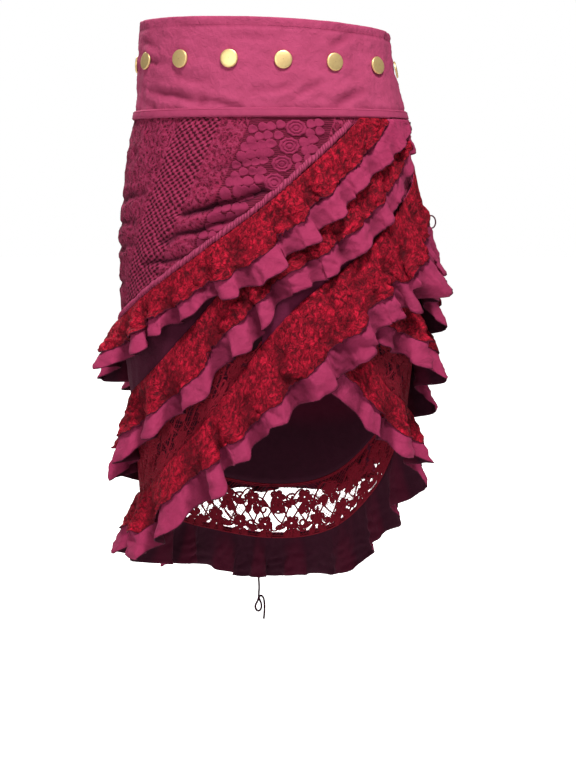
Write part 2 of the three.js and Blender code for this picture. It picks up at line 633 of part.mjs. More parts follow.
function addPiece(name, geometry, material) {
  const mesh = new THREE.Mesh(geometry, material);
  mesh.name = name;
  group.add(mesh);
}

addPiece('waistband', waistband(), cloth('#b0486f'));
addPiece('waist_binding', waistBinding(), cloth('#b85078'));
addPiece('hip_panel', hipPanel(), cloth('#8c2f57'));
addPiece('base_panel', basePanel(), cloth('#9a3560'));
const { frontTurn, lapTurn, frontGap, backGap } = INSERT;
const insertLeft = laceInsert(frontTurn, -180, INSERT.leftCells, frontGap, backGap);
const insertRight = laceInsert(180, lapTurn, INSERT.rightCells, backGap, frontGap);
addPiece('lace_insert_left', insertLeft, cloth('#5c1228'));
addPiece('lace_insert_right', insertRight, cloth('#5c1228'));
addPiece('edge_piping', piping(), cloth('#b85078'));
TIERS.forEach((tier, k) => {
  addPiece(`${tier.name}_frill`, wallGeometry(ruffleColumns(k, 'frill'), false), cloth('#b0486f'));
  addPiece(`${tier.name}_lace`, wallGeometry(ruffleColumns(k, 'lace'), false), cloth('#9c1030'));
});
snapTurns().forEach((turn, n) => {
  const mesh = snapMesh(turn);
  mesh.name = `snap_${String(n + 1).padStart(2, '0')}`;
  mesh.material = new THREE.MeshStandardMaterial({ color: '#d8b36a', roughness: 0.3, metalness: 1 });
  group.add(mesh);
});
addPiece('side_loop', sideLoop(), cloth('#3a0a18'));
addPiece('back_tie', backTie(), cloth('#8c2f57'));

export default group;
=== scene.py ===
"""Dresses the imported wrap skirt: cloth, lace, trims, snaps and cords in the CAD frame.

A place on the cloth is a turn in degrees round the body (0 middle front, -90 at the
viewer's left, -180 middle back, -330 the inner end) and a height in millimetres from
half way up the waistband. Shapes are worked out in millimetres and put into meshes in
metres.
"""
import logging
import math
from dataclasses import dataclass
from enum import Enum
from typing import Any, Callable, Sequence

import bpy
import numpy as np
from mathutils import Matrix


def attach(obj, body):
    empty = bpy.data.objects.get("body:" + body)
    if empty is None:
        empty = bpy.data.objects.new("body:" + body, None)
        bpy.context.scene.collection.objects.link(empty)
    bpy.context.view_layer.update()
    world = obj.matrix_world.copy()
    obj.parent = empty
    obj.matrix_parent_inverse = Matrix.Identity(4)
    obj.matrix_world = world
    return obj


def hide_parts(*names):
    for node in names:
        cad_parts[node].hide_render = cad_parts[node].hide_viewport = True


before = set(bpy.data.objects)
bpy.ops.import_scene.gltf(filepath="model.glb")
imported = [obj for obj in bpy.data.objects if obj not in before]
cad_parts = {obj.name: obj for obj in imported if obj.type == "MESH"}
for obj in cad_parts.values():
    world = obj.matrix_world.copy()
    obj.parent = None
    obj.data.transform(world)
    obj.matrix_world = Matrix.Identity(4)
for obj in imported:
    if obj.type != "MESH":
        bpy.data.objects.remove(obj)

LOG = logging.getLogger("skirt")
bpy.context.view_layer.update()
Array = np.ndarray
Look = bpy.types.Material
Piece = bpy.types.Object
Tree = bpy.types.NodeTree
Node = bpy.types.Node
Socket = bpy.types.NodeSocket
MM = 0.001
BODY = "root"


# ---- Tables of sizes -----------------------------------------------------------------
class Table:
    """Rows of named sizes at rising places, read on a smooth curve through them."""

    def __init__(self, columns: str, rows: Sequence[Sequence[float]]) -> None:
        """Keeps the rows.

        Args:
            columns: the columns' names after the place, parted by spaces.
            rows: a row for each place: the place, then a value for each column.
        """
        values = np.array(rows, float)
        self.at = values[:, 0]
        self.columns = {name: values[:, n + 1] for n, name in enumerate(columns.split())}

    def read(self, column: str, at: Array) -> Array:
        """Value of a column at any places: a cubic between two rows whose slope at each
        row is that of the line between its neighbours.

        Args:
            column: the column's name.
            at: the places.

        Returns:
            The values, in the shape of the places.
        """
        rows, values = self.at, self.columns[column]
        last = len(rows) - 1
        at = np.clip(np.asarray(at, float), rows[0], rows[last])
        i = np.clip(np.searchsorted(rows, at, side="left") - 1, 0, last - 1)
        low, high = np.maximum(np.arange(last + 1) - 1, 0), np.minimum(np.arange(last + 1) + 1, last)
        slope = (values[high] - values[low]) / (rows[high] - rows[low])
        step = rows[i + 1] - rows[i]
        t = (at - rows[i]) / step
        rise = values[i + 1] - values[i]
        bend_in = slope[i] * step - rise
        bend_out = rise - slope[i + 1] * step
        return values[i] + rise * t + t * (1 - t) * (bend_in * (1 - t) + bend_out * t)


FORM = Table("cx half front back", [
    (-720, 0, 165, 140, 164),
    (-630, 0, 164, 138, 160),
    (-520, 0, 165, 136, 154),
    (-410, 1, 172, 134, 150),
    (-290, 1, 182, 132, 148),
    (-190, 1, 181, 130, 146),
    (-140, 1, 175, 127, 140),
    (-90, 1, 168, 123, 130),
    (-45, 0.5, 157, 118, 116),
    (10, -5, 147.5, 112, 106),
    (60, -6, 142, 108, 104),
])
BAND_TOP = Table("high", [(-292, 42), (-270, 40), (-180, 46), (-90, 53), (0, 48), (90, 40), (132, 42)])
SLANT = Table("lean", [
    (-360, -12), (-300, -9), (-240, -3), (-180, 0), (-120, 3), (-80, 8), (-40, 12), (60, 12), (140, 10),
])
TIER_COLUMNS = "top lace frill flare curl wave"
TIER_ROWS = (
    [
        (-285, -182, 34, 56, 12, 1.2, 3),
        (-270, -208, 36, 64, 24, 1.2, 6),
        (-255, -246, 38, 68, 28, 1.2, 8),
        (-235, -308, 40, 66, 22, 1.2, 7),
        (-210, -350, 40, 62, 18, 1.2, 7),
        (-180, -362, 40, 60, 18, 1.2, 7),
        (-150, -354, 38, 60, 22, 1.2, 7),
        (-120, -330, 36, 62, 32, 1.1, 8),
        (-98, -298, 34, 57, 40, 1, 8),
        (-80, -275, 32, 54, 30, 1, 7),
        (-60, -239, 30, 52, 19, 1.1, 6),
        (-40, -202, 31, 52, 15, 1.2, 5),
        (-15, -157, 34, 56, 13, 1.2, 5),
        (15, -100, 36, 56, 11, 1.2, 4),
        (45, -48, 34, 56, 6, 1.3, 2),
        (76, 6, 34, 70, 3, 1.3, 0.5),
    ],
    [
        (-312, -224, 36, 58, 4, 1.5, 1.5),
        (-290, -253, 37, 64, 14, 1.3, 4),
        (-270, -276, 38, 68, 32, 1.2, 7),
        (-252, -322, 42, 80, 36, 1.2, 8),
        (-230, -420, 42, 76, 26, 1.2, 8),
        (-205, -486, 42, 72, 20, 1.2, 7),
        (-180, -501, 42, 70, 18, 1.2, 7),
        (-150, -480, 42, 74, 20, 1.2, 7),
        (-120, -436, 44, 80, 25, 1.2, 8),
        (-98, -391, 46, 83, 26, 1.2, 8),
        (-75, -346, 43, 72, 22, 1.2, 7),
        (-55, -292, 40, 67, 16, 1.2, 6),
        (-35, -236, 34, 67, 13, 1.2, 5),
        (-16, -195, 38, 62, 12, 1.2, 5),
        (15, -146, 40, 61, 12, 1.3, 4),
        (60, -62, 40, 56, 7, 1.5, 2),
        (96, 6, 40, 70, 4, 1.5, 0.5),
    ],
    [
        (-320, -268, 32, 62, 3, 1.5, 1),
        (-300, -317, 33, 62, 6, 1.5, 2),
        (-285, -364, 32, 62, 16, 1.3, 5),
        (-270, -392, 36, 60, 26, 1.2, 8),
        (-252, -426, 40, 70, 34, 1.2, 9),
        (-230, -528, 44, 76, 26, 1.2, 8),
        (-205, -610, 44, 77, 20, 1.2, 8),
        (-180, -632, 44, 78, 18, 1.2, 8),
        (-150, -603, 44, 77, 22, 1.2, 8),
        (-125, -556, 42, 76, 32, 1.1, 8),
        (-105, -516, 38, 74, 34, 1, 8),
        (-90, -492, 42, 74, 27, 1.1, 8),
        (-68, -424, 38, 78, 20, 1.2, 7),
        (-50, -362, 46, 71, 18, 1.2, 7),
        (-30, -300, 52, 76, 18, 1.2, 6),
        (-10, -252, 60, 92, 20, 1.2, 6),
        (15, -209, 58, 82, 20, 1.2, 6),
        (45, -157, 59, 98, 22, 1.5, 6),
        (75, -119, 59, 104, 22, 1.8, 5),
        (105, -80, 50, 86, 16, 1.8, 4),
        (126, -48, 44, 72, 6, 1.5, 1),
    ],
)
RUFFLE_TOP = -57.0
SLANT_FROM = -60.0
CLEAR_ENDS = (4.0, 8.0)
CLEAR_BELOW = (4.0, 14.0)
CLEAR_ABOVE = (6.0, 16.0)
PANEL_SEAM = 0.5
PANEL_TUCK = 8.0
MM_PER_DEGREE = 2.9
FULL_HOLLOW = 5.0
LACE_EASE = (4.0, -3.0)
LACE_EASE_TURNS = (-40.0, 15.0)
LACE_EASE_ROOM = 14.0


# ---- Small mathematics ---------------------------------------------------------------
def smoothstep(value: Array, low: float, high: float) -> Array:
    """A smooth change from 0 at low to 1 at high."""
    t = np.clip((value - low) / (high - low), 0, 1)
    return t * t * (3 - 2 * t)


def soft_max(a: Array, b: Array, round_by: float = 2.0) -> Array:
    """The larger of two values, with its corner rounded."""
    return 0.5 * (a + b + np.sqrt((a - b) ** 2 + round_by**2)) - 0.25 * round_by


def rumple(u: Array, v: Array, size: float, seed: int, waves: int = 7) -> Array:
    """Soft irregular unevenness: a sum of sine waves that run across the cloth at seeded
    angles, with lengths near one size.

    Args:
        u: millimetres along the cloth.
        v: millimetres down it.
        size: the usual length of a wave, in millimetres.
        seed: fixes the angles, lengths and phases.
        waves: how many waves are summed.

    Returns:
        Values that are mostly from -1 to 1.
    """
    rng = np.random.default_rng(seed)
    total = np.zeros(np.broadcast(u, v).shape)
    for _ in range(waves):
        angle, phase = rng.uniform(0, 2 * math.pi, 2)
        pace = 2 * math.pi / (size * rng.uniform(0.7, 1.5))
        total = total + np.sin(pace * (u * math.cos(angle) + v * math.sin(angle)) + phase)
    return total / math.sqrt(waves)


def crumple(u: Array, v: Array, size: float, seed: int, waves: int = 5) -> Array:
    """Unevenness with crisp ridges: the same sum, of waves that run straight between sharp
    turns, on lines that a softer unevenness bends. It takes what rumple takes."""
    rng = np.random.default_rng(seed)
    bend = rumple(u, v, size * 2.5, seed + 900) * size * 0.35
    total = np.zeros(np.broadcast(u, v).shape)
    for _ in range(waves):
        angle, phase = rng.uniform(0, 2 * math.pi, 2)
        pace = math.pi / (size * rng.uniform(0.7, 1.6))
        along = pace * (u * math.cos(angle) + v * math.sin(angle) + bend) + phase
        total = total + 1 - 2 * np.abs(np.sin(along)) ** 0.8
    return total / math.sqrt(waves)


def per_wave(index: Array, seed: int) -> Array:
    """A seeded value from -1 to 1 for each whole number, the same each run."""
    rng = np.random.default_rng(seed)
    values = rng.uniform(-1, 1, 512)
    return values[np.asarray(index, int) % 512]


def blended_per_wave(place: Array, seed: int) -> Array:
    """The same, changing smoothly from one whole number to the next."""
    low = np.floor(place)
    t = smoothstep(place - low, 0, 1)
    return per_wave(low, seed) * (1 - t) + per_wave(low + 1, seed) * t


def circle(count: int) -> Array:
    """Points round a circle of radius 1, as (point, 2)."""
    angle = np.linspace(0, 2 * math.pi, count, endpoint=False)
    return np.stack([np.cos(angle), np.sin(angle)], axis=-1)


def unit(vectors: Array) -> Array:
    """The vectors brought to length 1."""
    return vectors / (np.linalg.norm(vectors, axis=-1, keepdims=True) + 1e-12)


def run_lengths(points: Array) -> Array:
    """The length run along a path up to each of its points, or the same for many paths."""
    step = np.linalg.norm(np.diff(points, axis=-2), axis=-1)
    return np.concatenate([np.zeros_like(step[..., :1]), np.cumsum(step, axis=-1)], axis=-1)


# ---- The body form -------------------------------------------------------------------
@dataclass(frozen=True)
class Crease:
    """A trough in the cloth along a line between two places, in degrees and millimetres."""

    turn: float
    high: float
    to_turn: float
    to_high: float
    deep: float
    wide: float


CREASES = tuple(Crease(*row) for row in (
    (-32, -161, -1, -135, 8.5, 5),
    (-42, -192, -8, -161, 5, 4.5),
    (-52, -218, -27, -207, 4, 4.5),
    (-90, -150, -54, -139, 3, 5),
    (-94, -181, -60, -170, 2.6, 4.5),
    (-93, -209, -58, -199, 3, 5),
    (-92, -251, -70, -243, 2.6, 4.5),
    (-20, -112, 4, -96, 2, 4.5),
    (-60, -26, -26, -38, 2.6, 4.5),
    (-28, -40, -10, -44, 2.4, 3.8),
    (-40, -12, -22, -20, 1.4, 4),
    (-74, 32, -52, 20, 1.4, 4),
    (-66, 10, -44, 2, 1.2, 3.8),
    (-14, 26, 10, 30, 0.9, 4),
    (-5, -30, 12, -22, 1.5, 4),
    (10, -38, 25, -18, 1.9, 3.8),
    (27, -44, 45, -26, 2.8, 4),
    (31, 18, 44, 32, 1.8, 4),
    (-150, -150, -112, -168, 3.5, 6.5),
    (-222, -170, -186, -150, 3.5, 6.5),
    (-175, -230, -135, -250, 3, 7),
    (-200, -36, -170, -22, 2, 5),
    (-262, -120, -236, -104, 2.5, 6),
))


def crease_shape(turn: Array, z: Array) -> tuple[Array, Array]:
    """Depth and sag of the creases at places on the cloth. Each is a trough that fades
    like a bell curve to both sides of its line, with a soft ridge along each side, and the
    cloth above it sags over it. Its line wanders a little.

    Args:
        turn: degrees round the body.
        z: heights in millimetres.

    Returns:
        Millimetres inwards, and millimetres downwards.
    """
    total = np.zeros(np.broadcast(turn, z).shape)
    sag = np.zeros(total.shape)
    wander = rumple(turn * MM_PER_DEGREE, z, 34, 11) * 1.6
    for c in CREASES:
        across = (c.to_turn - c.turn) * MM_PER_DEGREE
        up = c.to_high - c.high
        px, pz = (turn - c.turn) * MM_PER_DEGREE, z - c.high + wander
        length = math.hypot(across, up)
        along = np.clip((px * across + pz * up) / length**2, 0, 1)
        away = np.hypot(px - along * across, pz - along * up) / c.wide
        ends = 0.45 + 0.55 * np.sin(math.pi * along)
        trough = np.exp(-(away**2)) - 0.45 * np.exp(-(((away - 2) / 0.9) ** 2))
        total = total + c.deep * ends * trough
        above = (px * -up + pz * across) / length / c.wide
        sag = sag + 0.45 * c.deep * ends * np.exp(-(((above - 0.9) / 0.8) ** 2)) * (away < 4)
    return total, sag


def crease_depth(turn: Array, z: Array) -> Array:
    """Depth of the creases alone, in millimetres."""
    return crease_shape(turn, z)[0]


def half_widths(z: Array, turn: Array) -> tuple[Array, Array]:
    """The form's half width at a height, and its half depth on the side of a turn."""
    before = np.cos(np.radians(turn)) > 0
    return FORM.read("half", z), np.where(before, FORM.read("front", z), FORM.read("back", z))


def skin(turn: Array, z: Array, out: Array) -> Array:
    """Points on the body form, moved out along its level normal. A level cut of the form
    is two half ellipses, one before and one behind its middle.

    Args:
        turn: degrees round the body.
        z: heights in millimetres.
        out: millimetres outwards.

    Returns:
        Points in metres, in a last axis of three.
    """
    turn, z, out = np.broadcast_arrays(turn, z, out)
    s, c = np.sin(np.radians(turn)), np.cos(np.radians(turn))
    a, b = half_widths(z, turn)
    nx, ny = s / a, -c / b
    n = np.hypot(nx, ny)
    x = FORM.read("cx", z) + a * s + out * nx / n
    y = -b * c + out * ny / n
    return np.stack([x, y, z], axis=-1) * MM


def mm_per_degree(turn: Array, z: Array) -> Array:
    """Millimetres round the form for each degree of turn, at a place."""
    a, b = half_widths(z, turn)
    return np.hypot(a * np.cos(np.radians(turn)), b * np.sin(np.radians(turn))) * math.pi / 180


# ---- Meshes --------------------------------------------------------------------------
def quads(at: Array) -> Array:
    """Four-cornered faces between neighbours on the last two axes of vertex numbers."""
    low, high = at[..., :-1, :], at[..., 1:, :]
    corners = (low[..., :-1], low[..., 1:], high[..., 1:], high[..., :-1])
    return np.stack([corner.ravel() for corner in corners], axis=1)


class MeshParts:
    """Gathers vertices, faces, cloth coordinates and slots into one mesh object."""

    def __init__(self) -> None:
        """Starts with nothing."""
        self.points: list[Array] = []
        self.faces: list[Array] = []
        self.uvs: list[Array] = []
        self.count = 0

    def add(self, points: Array, faces: Array, uv: Array, uv_faces: Array | None = None) -> None:
        """Adds a block of vertices and of faces that all have the same number of corners.

        Args:
            points: vertices, in metres.
            faces: rows of indices into these vertices.
            uv: cloth coordinates, two or four to a row: metres along and down the cloth,
                then the same on the pattern's slanting bands.
            uv_faces: rows of indices into uv, where they aren't the faces' own.
        """
        uv = uv.reshape(-1, uv.shape[-1])
        if uv.shape[1] == 2:
            uv = np.concatenate([uv, np.zeros_like(uv)], axis=1)
        self.points.append(points.reshape(-1, 3))
        self.uvs.append(uv[faces if uv_faces is None else uv_faces].reshape(-1, 4))
        self.faces.append(faces + self.count)
        self.count += len(self.points[-1])

    def grid(self, points: Array, uv: Array, ring: bool = False) -> None:
        """Adds a grid of points as four-cornered faces that look to the side from which
        the first axis runs to the right and the second runs down.

        Args:
            points: the grid, in metres.
            uv: cloth coordinates at each point, with one column more on a ring.
            ring: True where the last column joins the first.
        """
        columns, rows = points.shape[:2]
        at = np.arange(columns * rows).reshape(columns, rows)
        uv_at = np.arange((columns + ring) * rows).reshape(columns + ring, rows)
        self.add(points, quads(np.concatenate([at, at[:1]]) if ring else at), uv, quads(uv_at))

    def tubes(self, paths: Array, normals: Array, wide: float, thick: float, sides: int = 4,
              closed: bool = False) -> None:
        """Adds closed tubes along many paths at once. A tube's section is an ellipse that
        lies on the cloth: wide across it and thick off it.

        Args:
            paths: points in metres, as (tube, step, 3).
            normals: the cloth's outward direction at each point.
            wide: half width in millimetres.
            thick: half thickness in millimetres.
            sides: corners of the section.
            closed: True where each path's end joins its start.
        """
        tubes, steps = paths.shape[:2]
        step = np.roll(paths, -1, axis=1) - np.roll(paths, 1, axis=1)
        along = unit(step if closed else np.gradient(paths, axis=1))
        side = unit(np.cross(along, normals))
        off = np.cross(side, along)
        section = circle(sides) * np.array([wide, thick]) * MM
        points = paths[:, :, None] + section[:, :1] * side[:, :, None] + section[:, 1:] * off[:, :, None]
        v = np.linspace(0, 1, sides, endpoint=False) * MM * 4
        uv = np.stack(np.broadcast_arrays(run_lengths(paths)[:, :, None], v), axis=-1)
        at = np.arange(tubes * steps * sides).reshape(tubes, steps, sides)
        around = np.concatenate([at, at[:, :1]], axis=1) if closed else at
        around = np.concatenate([around, around[..., :1]], axis=2)
        self.add(points, quads(around.swapaxes(1, 2)), uv)
        if not closed:
            caps = np.concatenate([at[:, 0, ::-1], at[:, -1]])
            self.add(np.zeros((0, 3)), caps - len(self.points[-1]), uv, caps)

    def build(self, name: str, material: Look) -> Piece:
        """Makes the mesh object at the origin.

        Args:
            name: the piece's name.
            material: its finish.

        Returns:
            The object, linked to the scene.
        """
        mesh = bpy.data.meshes.new(name)
        points = np.concatenate(self.points)
        uvs = np.concatenate(self.uvs)
        corners = np.concatenate([f.ravel() for f in self.faces])
        sizes = np.concatenate([np.full(len(f), f.shape[1]) for f in self.faces])
        mesh.vertices.add(len(points))
        mesh.vertices.foreach_set("co", points.astype(np.float32).ravel())
        mesh.loops.add(len(corners))
        mesh.loops.foreach_set("vertex_index", corners.astype(np.int32))
        mesh.polygons.add(len(sizes))
        mesh.polygons.foreach_set("loop_start", (np.cumsum(sizes) - sizes).astype(np.int32))
        mesh.polygons.foreach_set("loop_total", sizes.astype(np.int32))
        mesh.polygons.foreach_set("use_smooth", np.full(len(sizes), True))
        for n, layer_name in enumerate(("cloth", "band") if np.any(uvs[:, 2:]) else ("cloth",)):
            layer = mesh.uv_layers.new(name=layer_name)
            layer.data.foreach_set("uv", uvs[:, 2 * n : 2 * n + 2].astype(np.float32).ravel())
        mesh.materials.append(material)
        mesh.update(calc_edges=True)
        mesh.validate()
        piece = bpy.data.objects.new(name, mesh)
        bpy.context.scene.collection.objects.link(piece)
        return piece


def thicken(piece: Piece, wall: float, wrong_side: Look | None = None) -> None:
    """Gives a sheet its thickness in millimetres, inwards, and its wrong side's finish."""
    solid = piece.modifiers.new("thickness", "SOLIDIFY")
    solid.thickness = wall * MM
    solid.offset = -1.0
    solid.use_even_offset = False
    if wrong_side is not None:
        piece.data.materials.append(wrong_side)
        solid.material_offset = 1


def grid_normals(points: Array) -> Array:
    """Unit normals of a grid of points, to the side that its faces look to: the cross
    product of the steps down and along."""
    return unit(np.cross(np.gradient(points, axis=1), np.gradient(points, axis=0)))


def cloth_lengths(points: Array) -> Array:
    """Metres along and down a grid of cloth at each point, measured on its middle row and
    its own columns."""
    along = run_lengths(points[:, points.shape[1] // 2])
    return np.stack(np.broadcast_arrays(along[:, None], run_lengths(points)), axis=-1)


def flat_size(points: Array) -> tuple[float, float]:
    """Length and depth in metres of the cloth that a grid of points stands for: the mean
    of its rows' lengths, and the mean of its columns' lengths."""
    along, down = (run_lengths(lines)[:, -1].mean() for lines in (points.swapaxes(0, 1), points))
    return float(along), float(down)


def mark_hollows(piece: Piece, deep: Array) -> None:
    """Writes how deep each point lies, cut to 0 to 1, as the attribute that paints shade into its colour.
    """
    values = np.clip(deep, 0, 1).astype(np.float32).ravel()
    piece.data.attributes.new("hollow", "FLOAT", "POINT").data.foreach_set("value", values)


def register(piece: Piece, nodes: Sequence[str] = ()) -> Piece:
    """Puts a piece on the body, hides the CAD nodes it stands for and logs its faces.

    Args:
        piece: the finished piece.
        nodes: the CAD nodes that it replaces.

    Returns:
        The piece.
    """
    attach(piece, BODY)
    if nodes:
        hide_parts(*nodes)
    faces = len(piece.data.polygons) if piece.type == "MESH" else 0
    LOG.info("%s: %d faces before its modifiers, for %s", piece.name, faces, ", ".join(nodes) or "no node")
    return piece


@dataclass(frozen=True)
class Cloth:
    """A kind of cloth sheet: its finish, its wrong side's, its wall in millimetres, its slot's name, and
    how it is held. The slot's name and how it is held are not used."""

    look: Look
    wrong: Look | None
    wall: float
    slot: str
    held: str

    def sheet(self, name: str, node: str, points: Array, deep: Array | None = None,
              uv: Array | None = None) -> None:
        """Args:
            name: the piece's name.
            node: the CAD node that it stands for.
            points: its outer face, in metres as (column, row, 3).
            deep: how deep each point lies in a fold or crease, for painted shade, or None for none.
            uv: cloth coordinates, with one column more where the sheet is a closed ring,
                or None for the lengths along the points.
        """
        ring = uv is not None
        parts = MeshParts()
        parts.grid(points, uv if ring else cloth_lengths(points), ring)
        piece = parts.build(name, self.look)
        if deep is not None:
            mark_hollows(piece, deep)
        thicken(piece, self.wall, self.wrong)
        register(piece, [node])
        long, down = flat_size(np.concatenate([points, points[:1]]) if ring else points)


# ---- The ruffles' form ---------------------------------------------------------------
@dataclass(frozen=True)
class Tier:
    """A gathered ruffle: its name, its number of waves, and the turns of its two ends."""

    name: str
    waves: int
    outer: float
    inner: float
    rows: Table
    seed: int

    def edges(self, fold: Array) -> tuple[Array, Array, Array]:
        """Heights of the sewn edge and of the lace's and the frill's lower edges, none
        above the waist seam."""
        line = self.rows.read("top", fold)
        lace, frill = (self.rows.read(column, fold) for column in ("lace", "frill"))
        ease = LACE_EASE[0] + (LACE_EASE[1] - LACE_EASE[0]) * smoothstep(fold, *LACE_EASE_TURNS)
        drops = (0, lace + ease * np.clip((frill - lace) / LACE_EASE_ROOM, 0, 1), frill)
        top, lace, frill = (np.minimum(line - drop, RUFFLE_TOP) for drop in drops)
        return top, lace, frill


TIERS = (
    Tier("tier1", 24, 76, -285, Table(TIER_COLUMNS, TIER_ROWS[0]), 3),
    Tier("tier2", 27, 96, -304, Table(TIER_COLUMNS, TIER_ROWS[1]), 5),
    Tier("tier3", 29, 126, -320, Table(TIER_COLUMNS, TIER_ROWS[2]), 8),
)
WAVE_CREST = 1.5
WAVE_TROUGH = 4.2
WAVE_MOST = 1.1
OVER_LACE = 6.6
LAP_OUTER_FROM = -40.0
LAP_INNER_TO = -180.0


def fold_turn(fold: Array, z: Array) -> Array:
    """The turn reached at a height by the fold line that starts at a given turn."""
    return fold + SLANT.read("lean", fold) * (SLANT_FROM - z) / 100


def fold_at(turn: Array, z: Array) -> Array:
    """The fold line through a place on the cloth, by repeated correction."""
    turn, z = np.broadcast_arrays(turn, z)
    fold = np.array(turn, float)
    for _ in range(12):
        fold = fold + turn - fold_turn(fold, z)
    return fold


def reach(k: int, fold: Array, z: Array) -> Array:
    """How far a ruffle's crests reach off the body at a place, with some clearance, or
    zero where the ruffle doesn't lie. It fades in above and below the ruffle.

    Args:
        k: the ruffle's number, from 0.
        fold: the fold line.
        z: the height.

    Returns:
        Millimetres off the body.
    """
    tier = TIERS[k]
    top, _, frill = tier.edges(fold)
    above, below = z - top, frill - z
    past = np.maximum(fold - tier.outer, tier.inner - fold)
    near = (past < CLEAR_ENDS[1]) & (above < CLEAR_ABOVE[1]) & (below < CLEAR_BELOW[1])
    full = np.zeros(np.broadcast(fold, z).shape)
    if near.any():
        f, h, low, high = (np.broadcast_to(a, near.shape)[near] for a in (fold, z, frill, top))
        full[near] = stand_off(k, f, np.clip(h, low, high), WAVE_MOST) + OVER_LACE
    for distance, change in ((above, CLEAR_ABOVE), (below, CLEAR_BELOW), (past, CLEAR_ENDS)):
        full = full * (1 - smoothstep(distance, *change))
    return full


def lap_reach(fold: Array, z: Array) -> Array:
    """The same for the tucked inner ends, under the outer end of the wrap."""
    fold, z = np.broadcast_arrays(fold, z)
    over = fold >= LAP_OUTER_FROM
    total = np.zeros(over.shape)
    if over.any():
        h = z[over]
        inner = fold_at(fold_turn(fold[over], h) - 360, h)
        best = np.max([reach(k, inner, h) for k in range(len(TIERS))], axis=0)
        total[over] = np.where(inner > LAP_INNER_TO, 0, best)
    return total


def stand_off(k: int, fold: Array, z: Array, wave: Array) -> Array:
    """How far a frill's inner face stands off the body: none at its sewn edge, and more
    the lower it is, by its flare and its wave. It lies over what is under it with half of
    its waves.

    Args:
        k: the ruffle's number, from 0.
        fold: the fold line.
        z: the height.
        wave: -1 in a full trough to 1 on a full crest.

    Returns:
        Millimetres off the body.
    """
    tier = TIERS[k]
    top, _, frill = tier.edges(fold)
    s = np.clip((top - z) / np.maximum(top - frill, 1), 0, 1)
    out = s ** tier.rows.read("curl", fold)
    high = tier.rows.read("wave", fold)
    flare = tier.rows.read("flare", fold)
    low = np.maximum(flare - WAVE_TROUGH * high, 0.3)
    rise = out**0.8 * (flare + WAVE_CREST * high - low) * (1 + wave) / 2
    own = 0.4 + out * low + rise
    under = lap_reach(fold, z)
    if k + 1 < len(TIERS):
        under = np.maximum(under, reach(k + 1, fold, z))
    return np.where(under > 0.5, soft_max(own, under + 0.5 * rise, 2.0), own)


@dataclass(frozen=True)
class Lift:
    """A stretch of a frill whose hem rides up (or hangs down, where it is negative), in
    millimetres, about a fold line and so many degrees to both sides."""

    tier: int
    fold: float
    wide: float
    high: float


LIFTS = tuple(Lift(*row) for row in (
    (0, -66, 9, 9), (0, -44, 6, 5), (0, -25, 5, -4), (0, -90, 8, 3), (0, -230, 9, -5), (0, -205, 7, 6),
    (1, -58, 7, -5), (1, -30, 5, -6), (1, -44, 5, 5), (1, -8, 6, 4), (1, -240, 8, 6), (1, -160, 8, -5),
    (2, -72, 8, 6), (2, -54, 6, 7), (2, -38, 5, 5), (2, -20, 6, -5), (2, 2, 6, 4), (2, -262, 7, 6),
    (2, -215, 9, -5), (2, -150, 8, 5), (2, -276, 6, -4),
))


